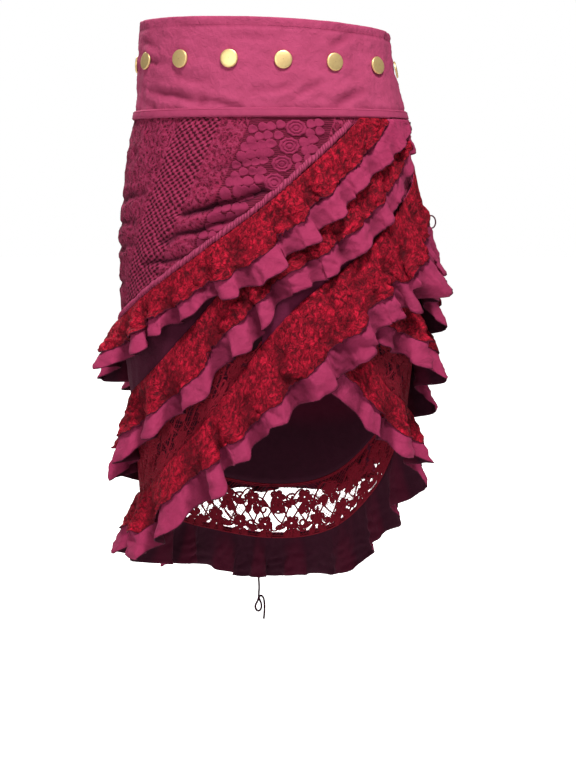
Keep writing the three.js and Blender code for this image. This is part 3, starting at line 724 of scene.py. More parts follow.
class RuffleForm:
    """The wavy surface of one ruffle, for its frill and for the lace on it."""

    COLUMNS_PER_WAVE = 28
    STEEPNESS = 3.3

    def __init__(self, k: int) -> None:
        """Works out the fold lines from the inner end to the outer one.

        Args:
            k: the ruffle's number, from 0.
        """
        self.k = k
        self.tier = TIERS[k]
        count = self.tier.waves * self.COLUMNS_PER_WAVE
        t = np.arange(count, -1, -1)[:, None] / count
        uneven = 0.008 * np.sin(9 * math.pi * t + self.tier.waves) + 0.005 * np.sin(22 * math.pi * t)
        share = t + uneven * np.sin(math.pi * t)
        self.place = self.tier.waves * t
        self.fold = self.tier.outer + (self.tier.inner - self.tier.outer) * share

    def varied(self, rate: float, number: int, start: float = 0.0) -> Array:
        """A value from -1 to 1 for each column that changes so many times a wave."""
        return blended_per_wave(self.place * rate + start, self.tier.seed + number)

    def waves(self, s: Array) -> tuple[Array, Array]:
        """The wave and its sideways shift. A wave is a sine whose troughs are narrower
        than its crests by a power that changes from wave to wave, as does its height. The
        sideways shift steepens the sides and leans each crest to one side.

        Args:
            s: the share of the way down, as (1, rows) or (columns, rows).

        Returns:
            The wave from -1 to about 1, and the shift in millimetres to higher turns.
        """
        phase = 2 * math.pi * self.place + 0.9 * self.varied(0.8, 1)
        size = 0.74 + 0.36 * self.varied(1.1, 0, 0.25)
        wave = 1 - 2 * (0.5 - 0.5 * np.sin(phase)) ** (1.15 + 0.4 * self.varied(0.7, 2))
        second = 0.3 * np.sin(1.73 * phase + 2.6 * self.varied(1.3, 3))
        second = (second + 0.16 * np.sin(2.9 * phase + 2.2 * self.varied(1.7, 9))) * s
        steep = self.STEEPNESS * (1 + 0.6 * self.varied(0.9, 10)) * np.sin(2 * phase)
        lean = 8 * self.varied(0.6, 4) * (1 + np.sin(phase)) / 2
        return size * (wave + second * (1 - 0.5 * s)), s**2 * (steep - lean)

    def surface(self, strip: str, rows: int, shortest: float) -> Array:
        """Points of a strip's outer face, as far as the strip is tall enough.

        Args:
            strip: "lace" or "frill", whose lower edge the rows run to.
            rows: how many rows of points.
            shortest: the least height of a column that is made, in millimetres.

        Returns:
            Points in metres as (column, row, 3).
        """
        fold = self.fold
        top, lace, frill = self.tier.edges(fold)
        drop = top - (lace if strip == "lace" else frill)
        s = np.linspace(0, 1, rows) * drop / np.maximum(top - frill, 1)
        wave, shift = self.waves(s)
        phase = 2 * math.pi * self.place
        seed = self.tier.seed
        high = self.tier.rows.read("wave", fold)
        full = np.clip(high / 6, 0, 1)
        droop = s * full * (6 * self.varied(1.2, 5) - 5 * wave)
        for lift in LIFTS:
            if lift.tier == self.k:
                droop = droop + s * lift.high * np.exp(-(((fold - lift.fold) / lift.wide) ** 2))
        z = np.minimum(top - s * (top - frill) + np.where(top - frill > 12, droop, 0), RUFFLE_TOP)
        gather = smoothstep(s, 0.0, 0.06) * (1 - smoothstep(s, 0.12, 0.5))
        pleat = 0.5 + 0.5 * np.sin(3.3 * phase + 2.4 * self.varied(2.1, 6))
        along = fold * MM_PER_DEGREE
        uneven = crumple(along, z, 17, seed + 7) * 1.7 + crumple(along, z, 8, seed + 8) * 0.6
        skew = (s - 0.5) * 2.2 * self.varied(0.8, 13)
        pinch = np.abs(np.sin(0.95 * phase + skew + 2.6 * self.varied(1.9, 11))) ** 0.6
        keen = 1.2 + 1.1 * self.varied(1.4, 12)
        out = stand_off(self.k, fold, z, np.clip(wave, -1, WAVE_MOST)) + 0.9 + 1.5 * gather * pleat
        out = out + uneven * smoothstep(s, 0.1, 0.7) * (0.3 + 0.7 * full)
        out = out + keen * pinch * smoothstep(s, 0.3, 0.8) * (0.4 + 0.6 * full)
        turn = fold_turn(fold, z)
        turn = turn + shift * np.clip(high / 5, 0, 1) / mm_per_degree(turn, z)
        return skin(turn, z, out)[drop[:, 0] >= shortest]


# ---- The body panels' edges ----------------------------------------------------------
HIP_CHANGE = (38.0, 66.0)
BODY_CHANGE = (10.0, 28.0)
INSERT_HIGH = 84.0
INSERT_FRONT = -2.0
INSERT_LAP = 30.0
PANEL_TOP = -51.9
BODY_START = -228.0
OUTER_END = 132.0
INNER_END = -292.0
LAP_LIFT = 4.7
LAP_CHANGE = (26.0, 3.0)


def sewn_line(tier: Tier, turn: Array) -> Array:
    """Height of a ruffle's sewn edge at a turn, by halving the range of its fold lines."""
    low = np.full(np.shape(turn), tier.inner, float)
    high = np.full(np.shape(turn), tier.outer, float)
    for _ in range(24):
        fold = (low + high) / 2
        below = fold_turn(fold, tier.edges(fold)[0]) < turn
        low, high = np.where(below, fold, low), np.where(below, high, fold)
    return tier.edges((low + high) / 2)[0]


def sewn_ring(tier: Tier, turn: Array, change: tuple[float, float]) -> Array:
    """The same all round the closed body: the outer end's line up to one turn, the inner
    end's line from another, and a smooth change between them."""
    t = smoothstep(turn, *change)
    first = sewn_line(tier, np.minimum(turn, change[0]))
    last = sewn_line(tier, np.maximum(turn, change[1]) - 360)
    return first * (1 - t) + last * t


def hip_edge(turn: Array) -> Array:
    """Height of the hip panel's lower edge."""
    return sewn_ring(TIERS[0], turn, HIP_CHANGE) - PANEL_TUCK


def body_edge(turn: Array) -> Array:
    """Height of the base panel's and the lace inserts' lower edge."""
    return sewn_ring(TIERS[2], turn, BODY_CHANGE) - PANEL_TUCK


def lap_lift(turn: Array) -> Array:
    """How far the outer end of the waistband lies over the inner one."""
    first, last = (INNER_END + 360 - before for before in LAP_CHANGE)
    return LAP_LIFT * smoothstep(turn, first, last)


def wrapped(turn: Array) -> Array:
    """Turns past the outer end, taken a whole turn back."""
    return np.where(turn > OUTER_END, turn - 360, turn)


def band_face(turn: Array, z: Array) -> Array:
    """Millimetres by which the waistband's outer face stands off the body form."""
    along = turn * MM_PER_DEGREE
    fine = rumple(along, z * 1.9, 34, 21) * 0.6 + crumple(along, z * 1.3, 38, 23) * 0.22
    fine = fine + rumple(along, z * 1.6, 11, 22) * 0.2
    fine = fine + crumple(along * 0.8, z * 1.9 - along * 0.5, 17, 24) * 0.3
    return lap_lift(turn) - crease_depth(turn, z) + fine


def panel_face(turn: Array, z: Array) -> Array:
    """The same for the hip panel."""
    along = turn * MM_PER_DEGREE
    fine = rumple(along, z * 2, 30, 31) * 0.8 + rumple(along, z * 1.6, 11, 32) * 0.25
    fine = fine + crumple(along * 0.5, z * 1.6, 20, 33) * 0.5
    return fine - crease_depth(wrapped(turn), z) - 0.3


# ---- Finishes ------------------------------------------------------------------------
def srgb(code: str) -> tuple[float, float, float, float]:
    """A colour like "#a03050" as linear red, green and blue, with full alpha."""
    channels = [int(code[i : i + 2], 16) / 255 for i in (1, 3, 5)]
    linear = [c / 12.92 if c <= 0.04045 else ((c + 0.055) / 1.055) ** 2.4 for c in channels]
    return linear[0], linear[1], linear[2], 1.0


def add_node(tree: Tree, kind: str, inputs: dict[Any, Any] | None = None, **settings: Any) -> Node:
    """Adds one node.

    Args:
        tree: the material's node tree.
        kind: the node's type without its ShaderNode prefix.
        inputs: a value or an output to link for each input's name or number.
        settings: the node's own settings.

    Returns:
        The node.
    """
    node = tree.nodes.new("ShaderNode" + kind)
    for key, value in settings.items():
        setattr(node, key, value)
    for key, value in (inputs or {}).items():
        if isinstance(value, Socket):
            tree.links.new(value, node.inputs[key])
        else:
            node.inputs[key].default_value = value
    return node


def calc(tree: Tree, operation: str, *values: Any) -> Socket:
    """A Math node's output for the given values or outputs."""
    return add_node(tree, "Math", dict(enumerate(values)), operation=operation).outputs[0]


def times(tree: Tree, *values: Any) -> Socket:
    """The product of two values or outputs."""
    return calc(tree, "MULTIPLY", *values)


def most(tree: Tree, *values: Any) -> Socket:
    """The larger of two values or outputs."""
    return calc(tree, "MAXIMUM", *values)


def ramp(tree: Tree, value: Any, low: float, high: float, first: float = 0, last: float = 1) -> Socket:
    """A value's share of the way between two others, cut off, between two results."""
    return add_node(tree, "MapRange", {0: value, 1: low, 2: high, 3: first, 4: last}).outputs[0]


def sine_wave(tree: Tree, place: Any, length: float) -> Socket:
    """A sine wave of one length along a coordinate."""
    return calc(tree, "SINE", times(tree, place, 2 * math.pi / length))


def blend_colours(tree: Tree, share: Any, first: Any, second: Any) -> Socket:
    """Mixes two colours, given as hex codes or outputs, by a share from 0 to 1."""
    first, second = (srgb(c) if isinstance(c, str) else c for c in (first, second))
    return add_node(tree, "Mix", {0: share, 6: first, 7: second}, data_type="RGBA").outputs[2]


def in_millimetres(tree: Tree, place: Socket) -> Socket:
    """A vector in metres, brought to millimetres."""
    return add_node(tree, "VectorMath", {0: place, 3: 1 / MM}, operation="SCALE").outputs[0]


def scaled_uv(tree: Tree, layer: str = "cloth") -> tuple[Socket, Socket, Socket]:
    """The cloth's own coordinates in millimetres: the vector, and its two parts."""
    scaled = in_millimetres(tree, add_node(tree, "UVMap", uv_map=layer).outputs[0])
    parts = add_node(tree, "SeparateXYZ", {0: scaled})
    return scaled, parts.outputs[0], parts.outputs[1]


def noise(tree: Tree, vector: Any, size: float, detail: float = 2.0, rough: float = 0.5, warp: float = 0.0,
          **settings: Any) -> Socket:
    """A noise pattern whose spots are about one size across, in the vector's unit."""
    inputs = {"Vector": vector, "Scale": 1 / size, "Detail": detail, "Roughness": rough, "Distortion": warp}
    return add_node(tree, "TexNoise", inputs, **settings).outputs[0]


def bump(tree: Tree, height: Any, distance: float, strength: float = 1.0, normal: Any = None) -> Socket:
    """A bump of a real depth in millimetres from a height of 0 to 1."""
    inputs = {"Height": height, "Distance": distance * MM, "Strength": strength}
    if normal is not None:
        inputs["Normal"] = normal
    return add_node(tree, "Bump", inputs).outputs[0]


def weave_height(tree: Tree, u: Any, v: Any, pitch: float) -> Socket:
    """A plain weave's height: the product of two sines, one along the cloth and one down
    it, with the threads of one set high where those of the other are low."""
    product = times(tree, sine_wave(tree, u, 2 * pitch), sine_wave(tree, v, 2 * pitch))
    return calc(tree, "MULTIPLY_ADD", product, 0.5, 0.5)


def start_material(name: str, roughness: float, sheen: float = 0.0, sheen_tint: str = "#ffffff",
                   metallic: float = 0.0) -> tuple[Look, Tree, Node]:
    """An empty material with one shader, its constant values on the shader itself."""
    material = bpy.data.materials.new(name)
    material.use_nodes = True
    tree = material.node_tree
    shader = tree.nodes["Principled BSDF"]
    specular = 0.5 if metallic else 0.12
    constants = {"Roughness": roughness, "Metallic": metallic, "Sheen Weight": sheen,
                 "Sheen Tint": srgb(sheen_tint), "Specular IOR Level": specular}
    for socket, value in constants.items():
        shader.inputs[socket].default_value = value
    return material, tree, shader


def dress(tree: Tree, shader: Node, colour: Socket, normal: Socket) -> None:
    """Gives the shader its colour and its normal."""
    tree.links.new(colour, shader.inputs["Base Color"])
    tree.links.new(normal, shader.inputs["Normal"])


def with_painted_shade(tree: Tree, colour: Any, deep: str, share: float) -> Socket:
    """The colour, turned to a deeper one in the hollows between folds and in creases as painted shade, by
    the mesh's own attribute."""
    hollow = add_node(tree, "Attribute", attribute_name="hollow").outputs["Fac"]
    return blend_colours(tree, times(tree, hollow, share), colour, deep)


COTTON_SHEEN = (0.06, "#ff8ab4")
LACE_SHEEN = (0.1, "#ff3050")


@dataclass(frozen=True)
class PlainCotton:
    """Plain woven cotton, softly crumpled: matt, with slow changes of depth in the dye, painted shade in
    the dips of its crumples and in the hollows between folds, and a fine weave."""

    name: str
    light: str
    dark: str
    crumple: float = 0.9
    pitch: float = 0.5
    # The colour of the painted shade in fold hollows and creases.
    deep: str = "#4a0820"

    def material(self) -> Look:
        """Makes the material, from patches of dye 26 mm across and crumples of 7 mm."""
        material, tree, shader = start_material(self.name, 0.85, *COTTON_SHEEN)
        where, u, v = scaled_uv(tree)
        crumpled = noise(tree, where, 7, 4, 0.62, 0.6)
        ridged = noise(tree, where, 16, 2, 0.55, 0.5, noise_type="RIDGED_MULTIFRACTAL")
        # The 7 mm crumples' share makes their dips darker: painted shade.
        share = calc(tree, "MULTIPLY_ADD", noise(tree, where, 26, 3, 0.6), 0.6, times(tree, crumpled, 0.4))
        weave = bump(tree, weave_height(tree, u, v, self.pitch), 0.08, 0.6)
        soft = bump(tree, crumpled, self.crumple, 0.8, weave)
        # Painted shade in fold hollows and creases, from the mesh's attribute.
        colour = with_painted_shade(tree, blend_colours(tree, share, self.dark, self.light), self.deep, 0.68)
        dress(tree, shader, colour, bump(tree, ridged, self.crumple * 0.5, 0.7, soft))
        return material


@dataclass(frozen=True)
class CordedLace:
    """Corded floral lace: bright raised cords curl and cross over a dark open ground."""

    name: str
    cord: str
    shade: str
    ground: str

    def material(self) -> Look:
        """Makes the material. The pattern is a ground of warped noise 5 mm across with
        rounded petals 8.5 mm apart, cut by thin dark lines along the contours of a
        slower noise."""
        material, tree, shader = start_material(self.name, 0.7, *LACE_SHEEN)
        where, u, v = scaled_uv(tree)
        slow = noise(tree, where, 15, 1.5, 0.5, 1.6)
        contour = calc(tree, "ABSOLUTE", calc(tree, "SINE", times(tree, slow, 20.0)))
        spots = ramp(tree, noise(tree, where, 5.2, 3.5, 0.62, 0.9), 0.36, 0.64)
        petals = {"Vector": where, "Scale": 1 / 8.5, "Randomness": 0.9}
        heads = add_node(tree, "TexVoronoi", petals, feature="SMOOTH_F1").outputs["Distance"]
        lobes = ramp(tree, heads, 0.15, 0.65, 1.0, 0.0)
        parts = calc(tree, "MULTIPLY_ADD", spots, 0.75, times(tree, lobes, 0.25))
        height = times(tree, ramp(tree, contour, 0.02, 0.5, 0.25), parts)
        fade = ramp(tree, noise(tree, where, 10, 2.5, 0.6), 0.36, 0.6)
        bright = blend_colours(tree, fade, self.shade, self.cord)
        # Painted shade: the lace turns to its dark ground colour in the hollows between its folds.
        colour = with_painted_shade(tree, blend_colours(tree, height, self.ground, bright), self.ground, 0.75)
        twist = calc(tree, "SINE", times(tree, calc(tree, "ADD", u, v), 6.0))
        dress(tree, shader, colour, bump(tree, height, 1.5, 1.0, bump(tree, twist, 0.06, 0.5)))
        return material


@dataclass(frozen=True)
class Thread:
    """Twisted thread or cord: matt, with painted shade in the hollows between slanting strands. They are
    about 1 mm apart, coarser than real ones, so that they show."""

    name: str
    light: str
    dark: str

    def material(self) -> Look:
        """Makes the material."""
        material, tree, shader = start_material(self.name, 0.75)
        where = in_millimetres(tree, add_node(tree, "TexCoord").outputs["Object"])
        strands = add_node(tree, "TexWave", {"Vector": where, "Scale": 0.35, "Distortion": 0.6},
                           bands_direction="DIAGONAL").outputs["Fac"]
        colour = blend_colours(tree, strands, self.dark, self.light)
        dress(tree, shader, colour, bump(tree, strands, 0.15))
        return material


@dataclass(frozen=True)
class SatinBrass:
    """Pale brass caps with a satin polish: soft highlights, and an unevenness of 3 mm."""

    name: str
    light: str
    dark: str

    def material(self) -> Look:
        """Makes the material."""
        material, tree, shader = start_material(self.name, 0.42, metallic=0.7)
        where = in_millimetres(tree, add_node(tree, "TexCoord").outputs["Object"])
        spots = noise(tree, where, 3.0, 4, 0.6)
        colour = blend_colours(tree, spots, self.dark, self.light)
        dress(tree, shader, colour, bump(tree, spots, 0.05, 0.4))
        return material


@dataclass(frozen=True)
class EmbroideredCotton:
    """Cutwork cotton over a dark red lining. Its bands run down and to the left: small
    eyelets, an open lattice, fine embroidery, and a ground for the raised guipure. The
    bands are given as millimetres across them, and they repeat round the body."""

    name: str
    light: str
    dark: str
    lining: str
    raised: str
    # The colour of the painted shade in the panel's creases.
    deep: str = "#30061a"
    eyelet_band: tuple[float, float] = (-270, -107)
    lattice_band: tuple[float, float] = (-107, -52)
    fine_band: tuple[float, float] = (-52, -19)
    guipure_band: tuple[float, float] = (-19, 79)
    repeat: tuple[float, float] = (78, -270)

    def material(self) -> Look:
        """Makes the material. The lattice's holes are where the product of two sines is
        high, and the embroidery is rings of stitches round seeded centres 19 mm apart."""
        material, tree, shader = start_material(self.name, 0.85, *COTTON_SHEEN)
        where, _, _ = scaled_uv(tree)
        _, across, down = scaled_uv(tree, "band")
        across, down = (
            calc(tree, "ADD", place, calc(tree, "MULTIPLY_ADD", noise(tree, where, size, 2), 2.4, -1.2))
            for place, size in ((across, 9), (down, 7))
        )
        place = calc(tree, "WRAP", across, *self.repeat)

        def within(band: tuple[float, float], value: Any) -> Socket:
            """A value inside a band, and 0 outside it."""
            low, high = band
            fall = ramp(tree, place, high - 1, high + 1, 1, 0)
            return times(tree, times(tree, ramp(tree, place, low - 1, low + 1), fall), value)

        cells = times(tree, sine_wave(tree, across, 8.6), sine_wave(tree, down, 6.8))
        rough = calc(tree, "MULTIPLY_ADD", noise(tree, where, 3.4, 2.5, 0.65), 3.4, -1.7)
        lattice = within(self.lattice_band, ramp(tree, calc(tree, "ADD", cells, rough), 0.05, 0.4))
        bars = within(self.lattice_band, ramp(tree, cells, -0.2, -0.8, 0.0, 0.3))
        specks = ramp(tree, noise(tree, where, 2.8, 2, 0.7, 0.8), 0.47, 0.58)
        centres = {"Vector": where, "Scale": 1 / 19, "Randomness": 0.5}
        motifs = add_node(tree, "TexVoronoi", centres, feature="F1").outputs["Distance"]
        swirl = times(tree, noise(tree, where, 4.5, 2, 0.6), 10.0)
        rings = calc(tree, "SINE", calc(tree, "MULTIPLY_ADD", motifs, 19.0, swirl))
        worked = times(tree, specks, ramp(tree, rings, -0.3, 0.7, 0.2, 0.95))
        outlines = ramp(tree, rings, -0.3, -1.0, 0.0, 0.22)
        outlines = most(tree, within(self.eyelet_band, outlines), within(self.fine_band, outlines))
        cords = most(tree, bars, outlines)
        fine = within(self.fine_band, times(tree, worked, 0.85))
        guipure = within(self.guipure_band, ramp(tree, sine_wave(tree, down, 2.1), -0.2, 0.8, 0.8, 0.3))
        cut = most(tree, lattice, within(self.eyelet_band, worked))
        hole = most(tree, cut, most(tree, fine, guipure))
        stitched = noise(tree, where, 2.2, 2, 0.5)
        cloth = blend_colours(tree, noise(tree, where, 20, 3, 0.6), self.dark, self.light)
        cloth = blend_colours(tree, times(tree, stitched, 0.6), cloth, self.dark)
        cloth = blend_colours(tree, cords, cloth, self.raised)
        # Painted shade: a deeper colour where the panel lies in its creases.
        colour = with_painted_shade(tree, blend_colours(tree, hole, cloth, self.lining), self.deep, 0.85)
        raised = calc(tree, "MULTIPLY_ADD", cords, 0.7, calc(tree, "MULTIPLY_ADD", stitched, 0.35, 0.3))
        height = calc(tree, "SUBTRACT", raised, times(tree, hole, 0.5))
        dress(tree, shader, colour, bump(tree, height, 1.6))
        return material


class Finish(Enum):
    """The kinds of finish, each with what makes its material."""

    # The frills' copy of this mulberry cotton is a little darker than the band's: painted shade.
    MULBERRY = PlainCotton("crumpled mulberry cotton", "#ae3a62", "#7c1a3e", 2.4)
    BAND = PlainCotton("waistband mulberry cotton", "#b4486e", "#923352", 1.9, deep="#701a3a")
    BINDING = PlainCotton("mulberry bias cotton", "#ae4265", "#8c3052", 0.5)
    EYELET = EmbroideredCotton("mulberry cutwork cotton", "#a02c50", "#7a1a3a", "#3c081a", "#b44c72")
    # The base panel is the same mulberry cotton, much darker: painted shade under the ruffles.
    BASE = PlainCotton("mulberry cotton darkened as painted shade", "#6e1c3e", "#50122c", 1.2, deep="#240412")
    GUIPURE = PlainCotton("corded guipure thread", "#9e3056", "#721c3c", 1.3, 0.9)
    CRIMSON = CordedLace("corded crimson lace", "#de1a3c", "#940824", "#3c020e")
    NET = Thread("burgundy lace thread", "#8c1228", "#5c0a1a")
    THREAD = Thread("dark overlock thread", "#5a1832", "#3a0c1e")
    # The wrong side is far darker than the right side of the same cotton: painted shade inside the skirt
    # and under its frills.
    WRONG_SIDE_IN_PAINTED_SHADE = PlainCotton("wrong side of the cotton", "#380c20", "#260714")
    LINING = PlainCotton("dark red lining cotton", "#2a0714", "#1c040d")
    SNAP = SatinBrass("pale brass", "#f2d698", "#e0bd7c")


Looks = dict[Finish, Look]


# ---- Cords ---------------------------------------------------------------------------
def smooth_route(points: Array, steps: int) -> Array:
    """A smooth path through points, by the tables' curve through each of its axes."""
    route = Table("x y z", [(n, *point) for n, point in enumerate(points)])
    at = np.linspace(0, len(points) - 1, steps)
    return np.stack([route.read(axis, at) for axis in "xyz"], axis=-1)


@dataclass(frozen=True)
class Cord:
    """A round cord along a smooth route."""

    name: str
    node: str
    slot: str
    radius: float
    far_end: str
    lay: str

    def build(self, path: Array, material: Look) -> None:
        """Args:
            path: its points, in metres.
            material: its finish.
        """
        curve = bpy.data.curves.new(self.name, "CURVE")
        curve.dimensions = "3D"
        curve.bevel_depth = self.radius * MM
        curve.bevel_resolution = 3
        curve.use_fill_caps = True
        spline = curve.splines.new("POLY")
        spline.points.add(len(path) - 1)
        spline.points.foreach_set("co", np.concatenate([path, np.ones((len(path), 1))], axis=1).ravel())
        curve.materials.append(material)
        piece = bpy.data.objects.new(self.name, curve)
        bpy.context.scene.collection.objects.link(piece)
        register(piece, [self.node])
        length = float(run_lengths(path)[-1])


@dataclass(frozen=True)
class SideLoop:
    """The ring of dark thread at the right, out of the lowest ruffle's lace and back. Its
    route is in millimetres outwards and downwards from its start."""

    cord: Cord = Cord("loop_thread", "side_loop", "dark_thread", 0.9, "object", "loose")
    turn: float = 91.907
    high: float = -172.093
    out: float = 11.687
    route: tuple[tuple[float, float], ...] = (
        (0, 0), (3.5, -2.5), (8, -3), (11, 0.5), (11.3, 6), (9, 10.5), (5.5, 12), (3.4, 11.5),
    )
    steps: int = 64

    def build(self, material: Look) -> None:
        """Makes the loop."""
        out, down = np.array(self.route, float).T
        path = smooth_route(skin(np.array(self.turn), self.high - down, self.out + out), self.steps)
        self.cord.build(path, material)


@dataclass(frozen=True)
class BackTie:
    """The narrow tie that hangs from inside the hem at the back, looped near its end. Its
    route is in millimetres from its start."""

    cord: Cord = Cord("tie_cord", "back_tie", "mulberry_cotton", 1.5, "bare", "hanging")
    start: tuple[float, float, float] = (-19.138, 169.921, -700.0)
    route: tuple[tuple[float, float, float], ...] = (
        (0, 0, 0), (0, 0, -8), (0.5, 0, -18), (0, 0, -30), (-1, 0, -40), (-4, 0.5, -46), (-5.5, 1, -52),
        (-3, 2, -58), (1, 3, -58.5), (3.6, 3.8, -54), (3.2, 4.2, -47), (0.5, 4.4, -41), (0.5, 4.6, -37),
        (3.5, 4.8, -35.5), (7, 4.8, -40), (8.2, 4.5, -50), (8, 4, -62), (7, 4, -72),
    )
    steps: int = 140
    smoothings: int = 8

    def build(self, material: Look) -> None:
        """Makes the tie, with each point of its path drawn towards its neighbours."""
        path = smooth_route((np.array(self.start) + np.array(self.route, float)) * MM, self.steps)
        for _ in range(self.smoothings):
            path[1:-1] = (path[:-2] + 2 * path[1:-1] + path[2:]) / 4
        self.cord.build(path, material)


# ---- Sewn lines ----------------------------------------------------------------------
def stitches(parts: MeshParts, place: Callable[[Array, Array], Array], line: Callable[[Array], Array],
             size: tuple[float, float, float] = (2.6, 0.8, 0.28)) -> None:
    """Adds a row of short stitches round the band, each a low tube a little sunk at its
    ends.

    Args:
        parts: the mesh that they go into.
        place: points in metres from turns and heights.
        line: the row's height at each turn.
        size: a stitch's length, the gap after it and its half thickness, in millimetres.
    """
    long, gap, half = size
    fine = np.linspace(INNER_END + 2, OUTER_END - 2, 4000)
    at = run_lengths(place(fine, line(fine))) / MM
    first = np.arange(1, at[-1] - long - 1, long + gap)
    turn = np.interp(first[:, None] + np.linspace(0, long, 4), at, fine)
    high = line(turn)
    points = place(turn, high)
    normal = unit(np.cross(place(turn + 0.2, high) - points, place(turn, high + 0.6) - points))
    lift = np.array([-0.1, 1, 1, -0.1])[None, :, None] * half * MM
    parts.tubes(points + normal * lift, normal, half * 1.2, half)


# ---- Waist ---------------------------------------------------------------------------
@dataclass(frozen=True)
class Waistband:
    """The wide topstitched band, a turn and a sixth round, and its binding."""

    columns: int = 540
    rows: int = 34
    low: float = -51.5
    wall: float = 1.8
    stitch_down: float = 8.5
    binding_high: float = -46.8
    binding_low: float = -56.6
    binding_rows: int = 9
    binding_wall: float = 1.2
    stitch_in: float = 1.6

    def face(self, turn: Array, z: Array) -> Array:
        """Points on the band's outer face, pressed in along the topstitching, puckered a
        little round it and at the lower seam, and rounded at the top."""
        below = BAND_TOP.read("high", turn) - z
        along = turn * MM_PER_DEGREE
        pressed = 1.3 * np.exp(-(((below - self.stitch_down) / 1.5) ** 2))
        pucker = rumple(along, z * 0.3, 8, 41) * 0.22 * np.exp(-(((below - self.stitch_down) / 7) ** 2))
        rounded = 0.9 * np.clip(1 - below / 1.4, 0, 1) ** 2
        low_pucker = rumple(along, z * 0.2, 9, 42) * 0.35 * smoothstep(-z, 30, 47)
        return skin(turn, z, band_face(turn, z) - pressed + pucker + low_pucker - rounded)

    def binding_face(self, turn: Array, z: Array) -> Array:
        """Points on the binding's outer face, arched between its edges."""
        across = np.abs(2 * (self.binding_high - z) / (self.binding_high - self.binding_low) - 1)
        pucker = rumple(turn * MM_PER_DEGREE, z * 0.4, 9, 43) * 0.3 * (1 - across)
        return skin(turn, z, 0.6 + 1.7 * (1 - 0.75 * across**4) + lap_lift(turn) + pucker)

    def build(self, looks: Looks) -> None:
        """Makes the band, its stitches and the binding."""
        turn = np.linspace(INNER_END, OUTER_END, self.columns)[:, None]
        top = BAND_TOP.read("high", turn)
        part = np.concatenate([[0, 0.004, 0.012], np.linspace(0.025, 1, self.rows - 3)])
        z = top + (self.low - top) * part
        # Painted shade in the creases, a third of their depth, and darker lines along the topstitching and
        # just above the binding.
        seam = 0.5 * np.exp(-(((top - z - self.stitch_down) / 1.1) ** 2))
        seam = seam + 0.8 * np.exp(-(((z - self.binding_high - 0.4) / 1.3) ** 2))
        band = Cloth(looks[Finish.BAND], looks[Finish.WRONG_SIDE_IN_PAINTED_SHADE], self.wall, "mulberry_cotton", "draped")
        band.sheet("band_cloth", "waistband", self.face(turn, z), crease_depth(turn, z) / 3 + seam)
        sewing = MeshParts()
        stitches(sewing, self.face, lambda t: BAND_TOP.read("high", t) - self.stitch_down)
        for high in (self.binding_high - self.stitch_in, self.binding_low + self.stitch_in):
            stitches(sewing, self.binding_face, lambda t, high=high: np.full(np.shape(t), high))
        register(sewing.build("band_stitches", looks[Finish.BINDING]))
        z = np.linspace(self.binding_high, self.binding_low, self.binding_rows)
        binding = Cloth(looks[Finish.BINDING], None, self.binding_wall, "binding_cotton", "draped")
        binding.sheet("binding_strip", "waist_binding", self.binding_face(turn, z))


@dataclass(frozen=True)
class Snaps:
    """The row of domed metal caps round the band. A cap's profile is shares of its radius
    and heights off its back, in millimetres."""

    count: int = 14
    first_turn: float = 9
    high: float = 4
    sag: float = 3.5
    radius: float = 9.7
    sides: int = 40
    off: float = 0.55
    profile: tuple[tuple[float, float], ...] = (
        (0.03, 2.55), (0.3, 2.5), (0.5, 2.4), (0.7, 2.25), (0.84, 2.1), (0.91, 1.95), (0.96, 1.75),
        (0.99, 1.4), (1.0, 1.0), (1.0, 0.0),
    )

    def turns(self) -> Array:
        """Turns at equal steps of length round the band; those that the outer end covers
        are on it."""
        fine = self.first_turn - 360 * np.arange(1441) / 1440
        at = run_lengths(skin(fine, np.array(0.0), np.array(0.0)))
        turn = np.interp(np.arange(self.count) / self.count * at[-1], at, fine)
        return np.where(turn + 360 < OUTER_END - 5, turn + 360, turn)

    def face(self, turn: float, z: float) -> Array:
        """A point on the band, without its fine unevenness."""
        turn, z = np.array(turn), np.array(z)
        return skin(turn, z, lap_lift(turn) - crease_depth(turn, z))

    def build(self, looks: Looks) -> None:
        """Makes all the caps as one mesh of turned profiles."""
        parts = MeshParts()
        radius, high = np.array(self.profile, float).T
        section = circle(self.sides)[::-1]
        for turn in self.turns():
            z = self.high - self.sag * math.sin(math.radians(turn))
            right = unit(self.face(turn + 2, z) - self.face(turn - 2, z))
            normal = unit(np.cross(right, self.face(turn, z + 5) - self.face(turn, z - 5)))
            ring = section[:, :1] * right + section[:, 1:] * np.cross(normal, right)
            rise = (high + self.off)[:, None] * normal
            cap = self.face(turn, z) + (ring[:, None] * radius[:, None] * self.radius + rise) * MM
            parts.grid(cap, np.zeros((self.sides + 1, len(radius), 2)), ring=True)
        piece = parts.build("snap_caps", looks[Finish.SNAP])
        register(piece, [f"snap_{n + 1:02d}" for n in range(self.count)])


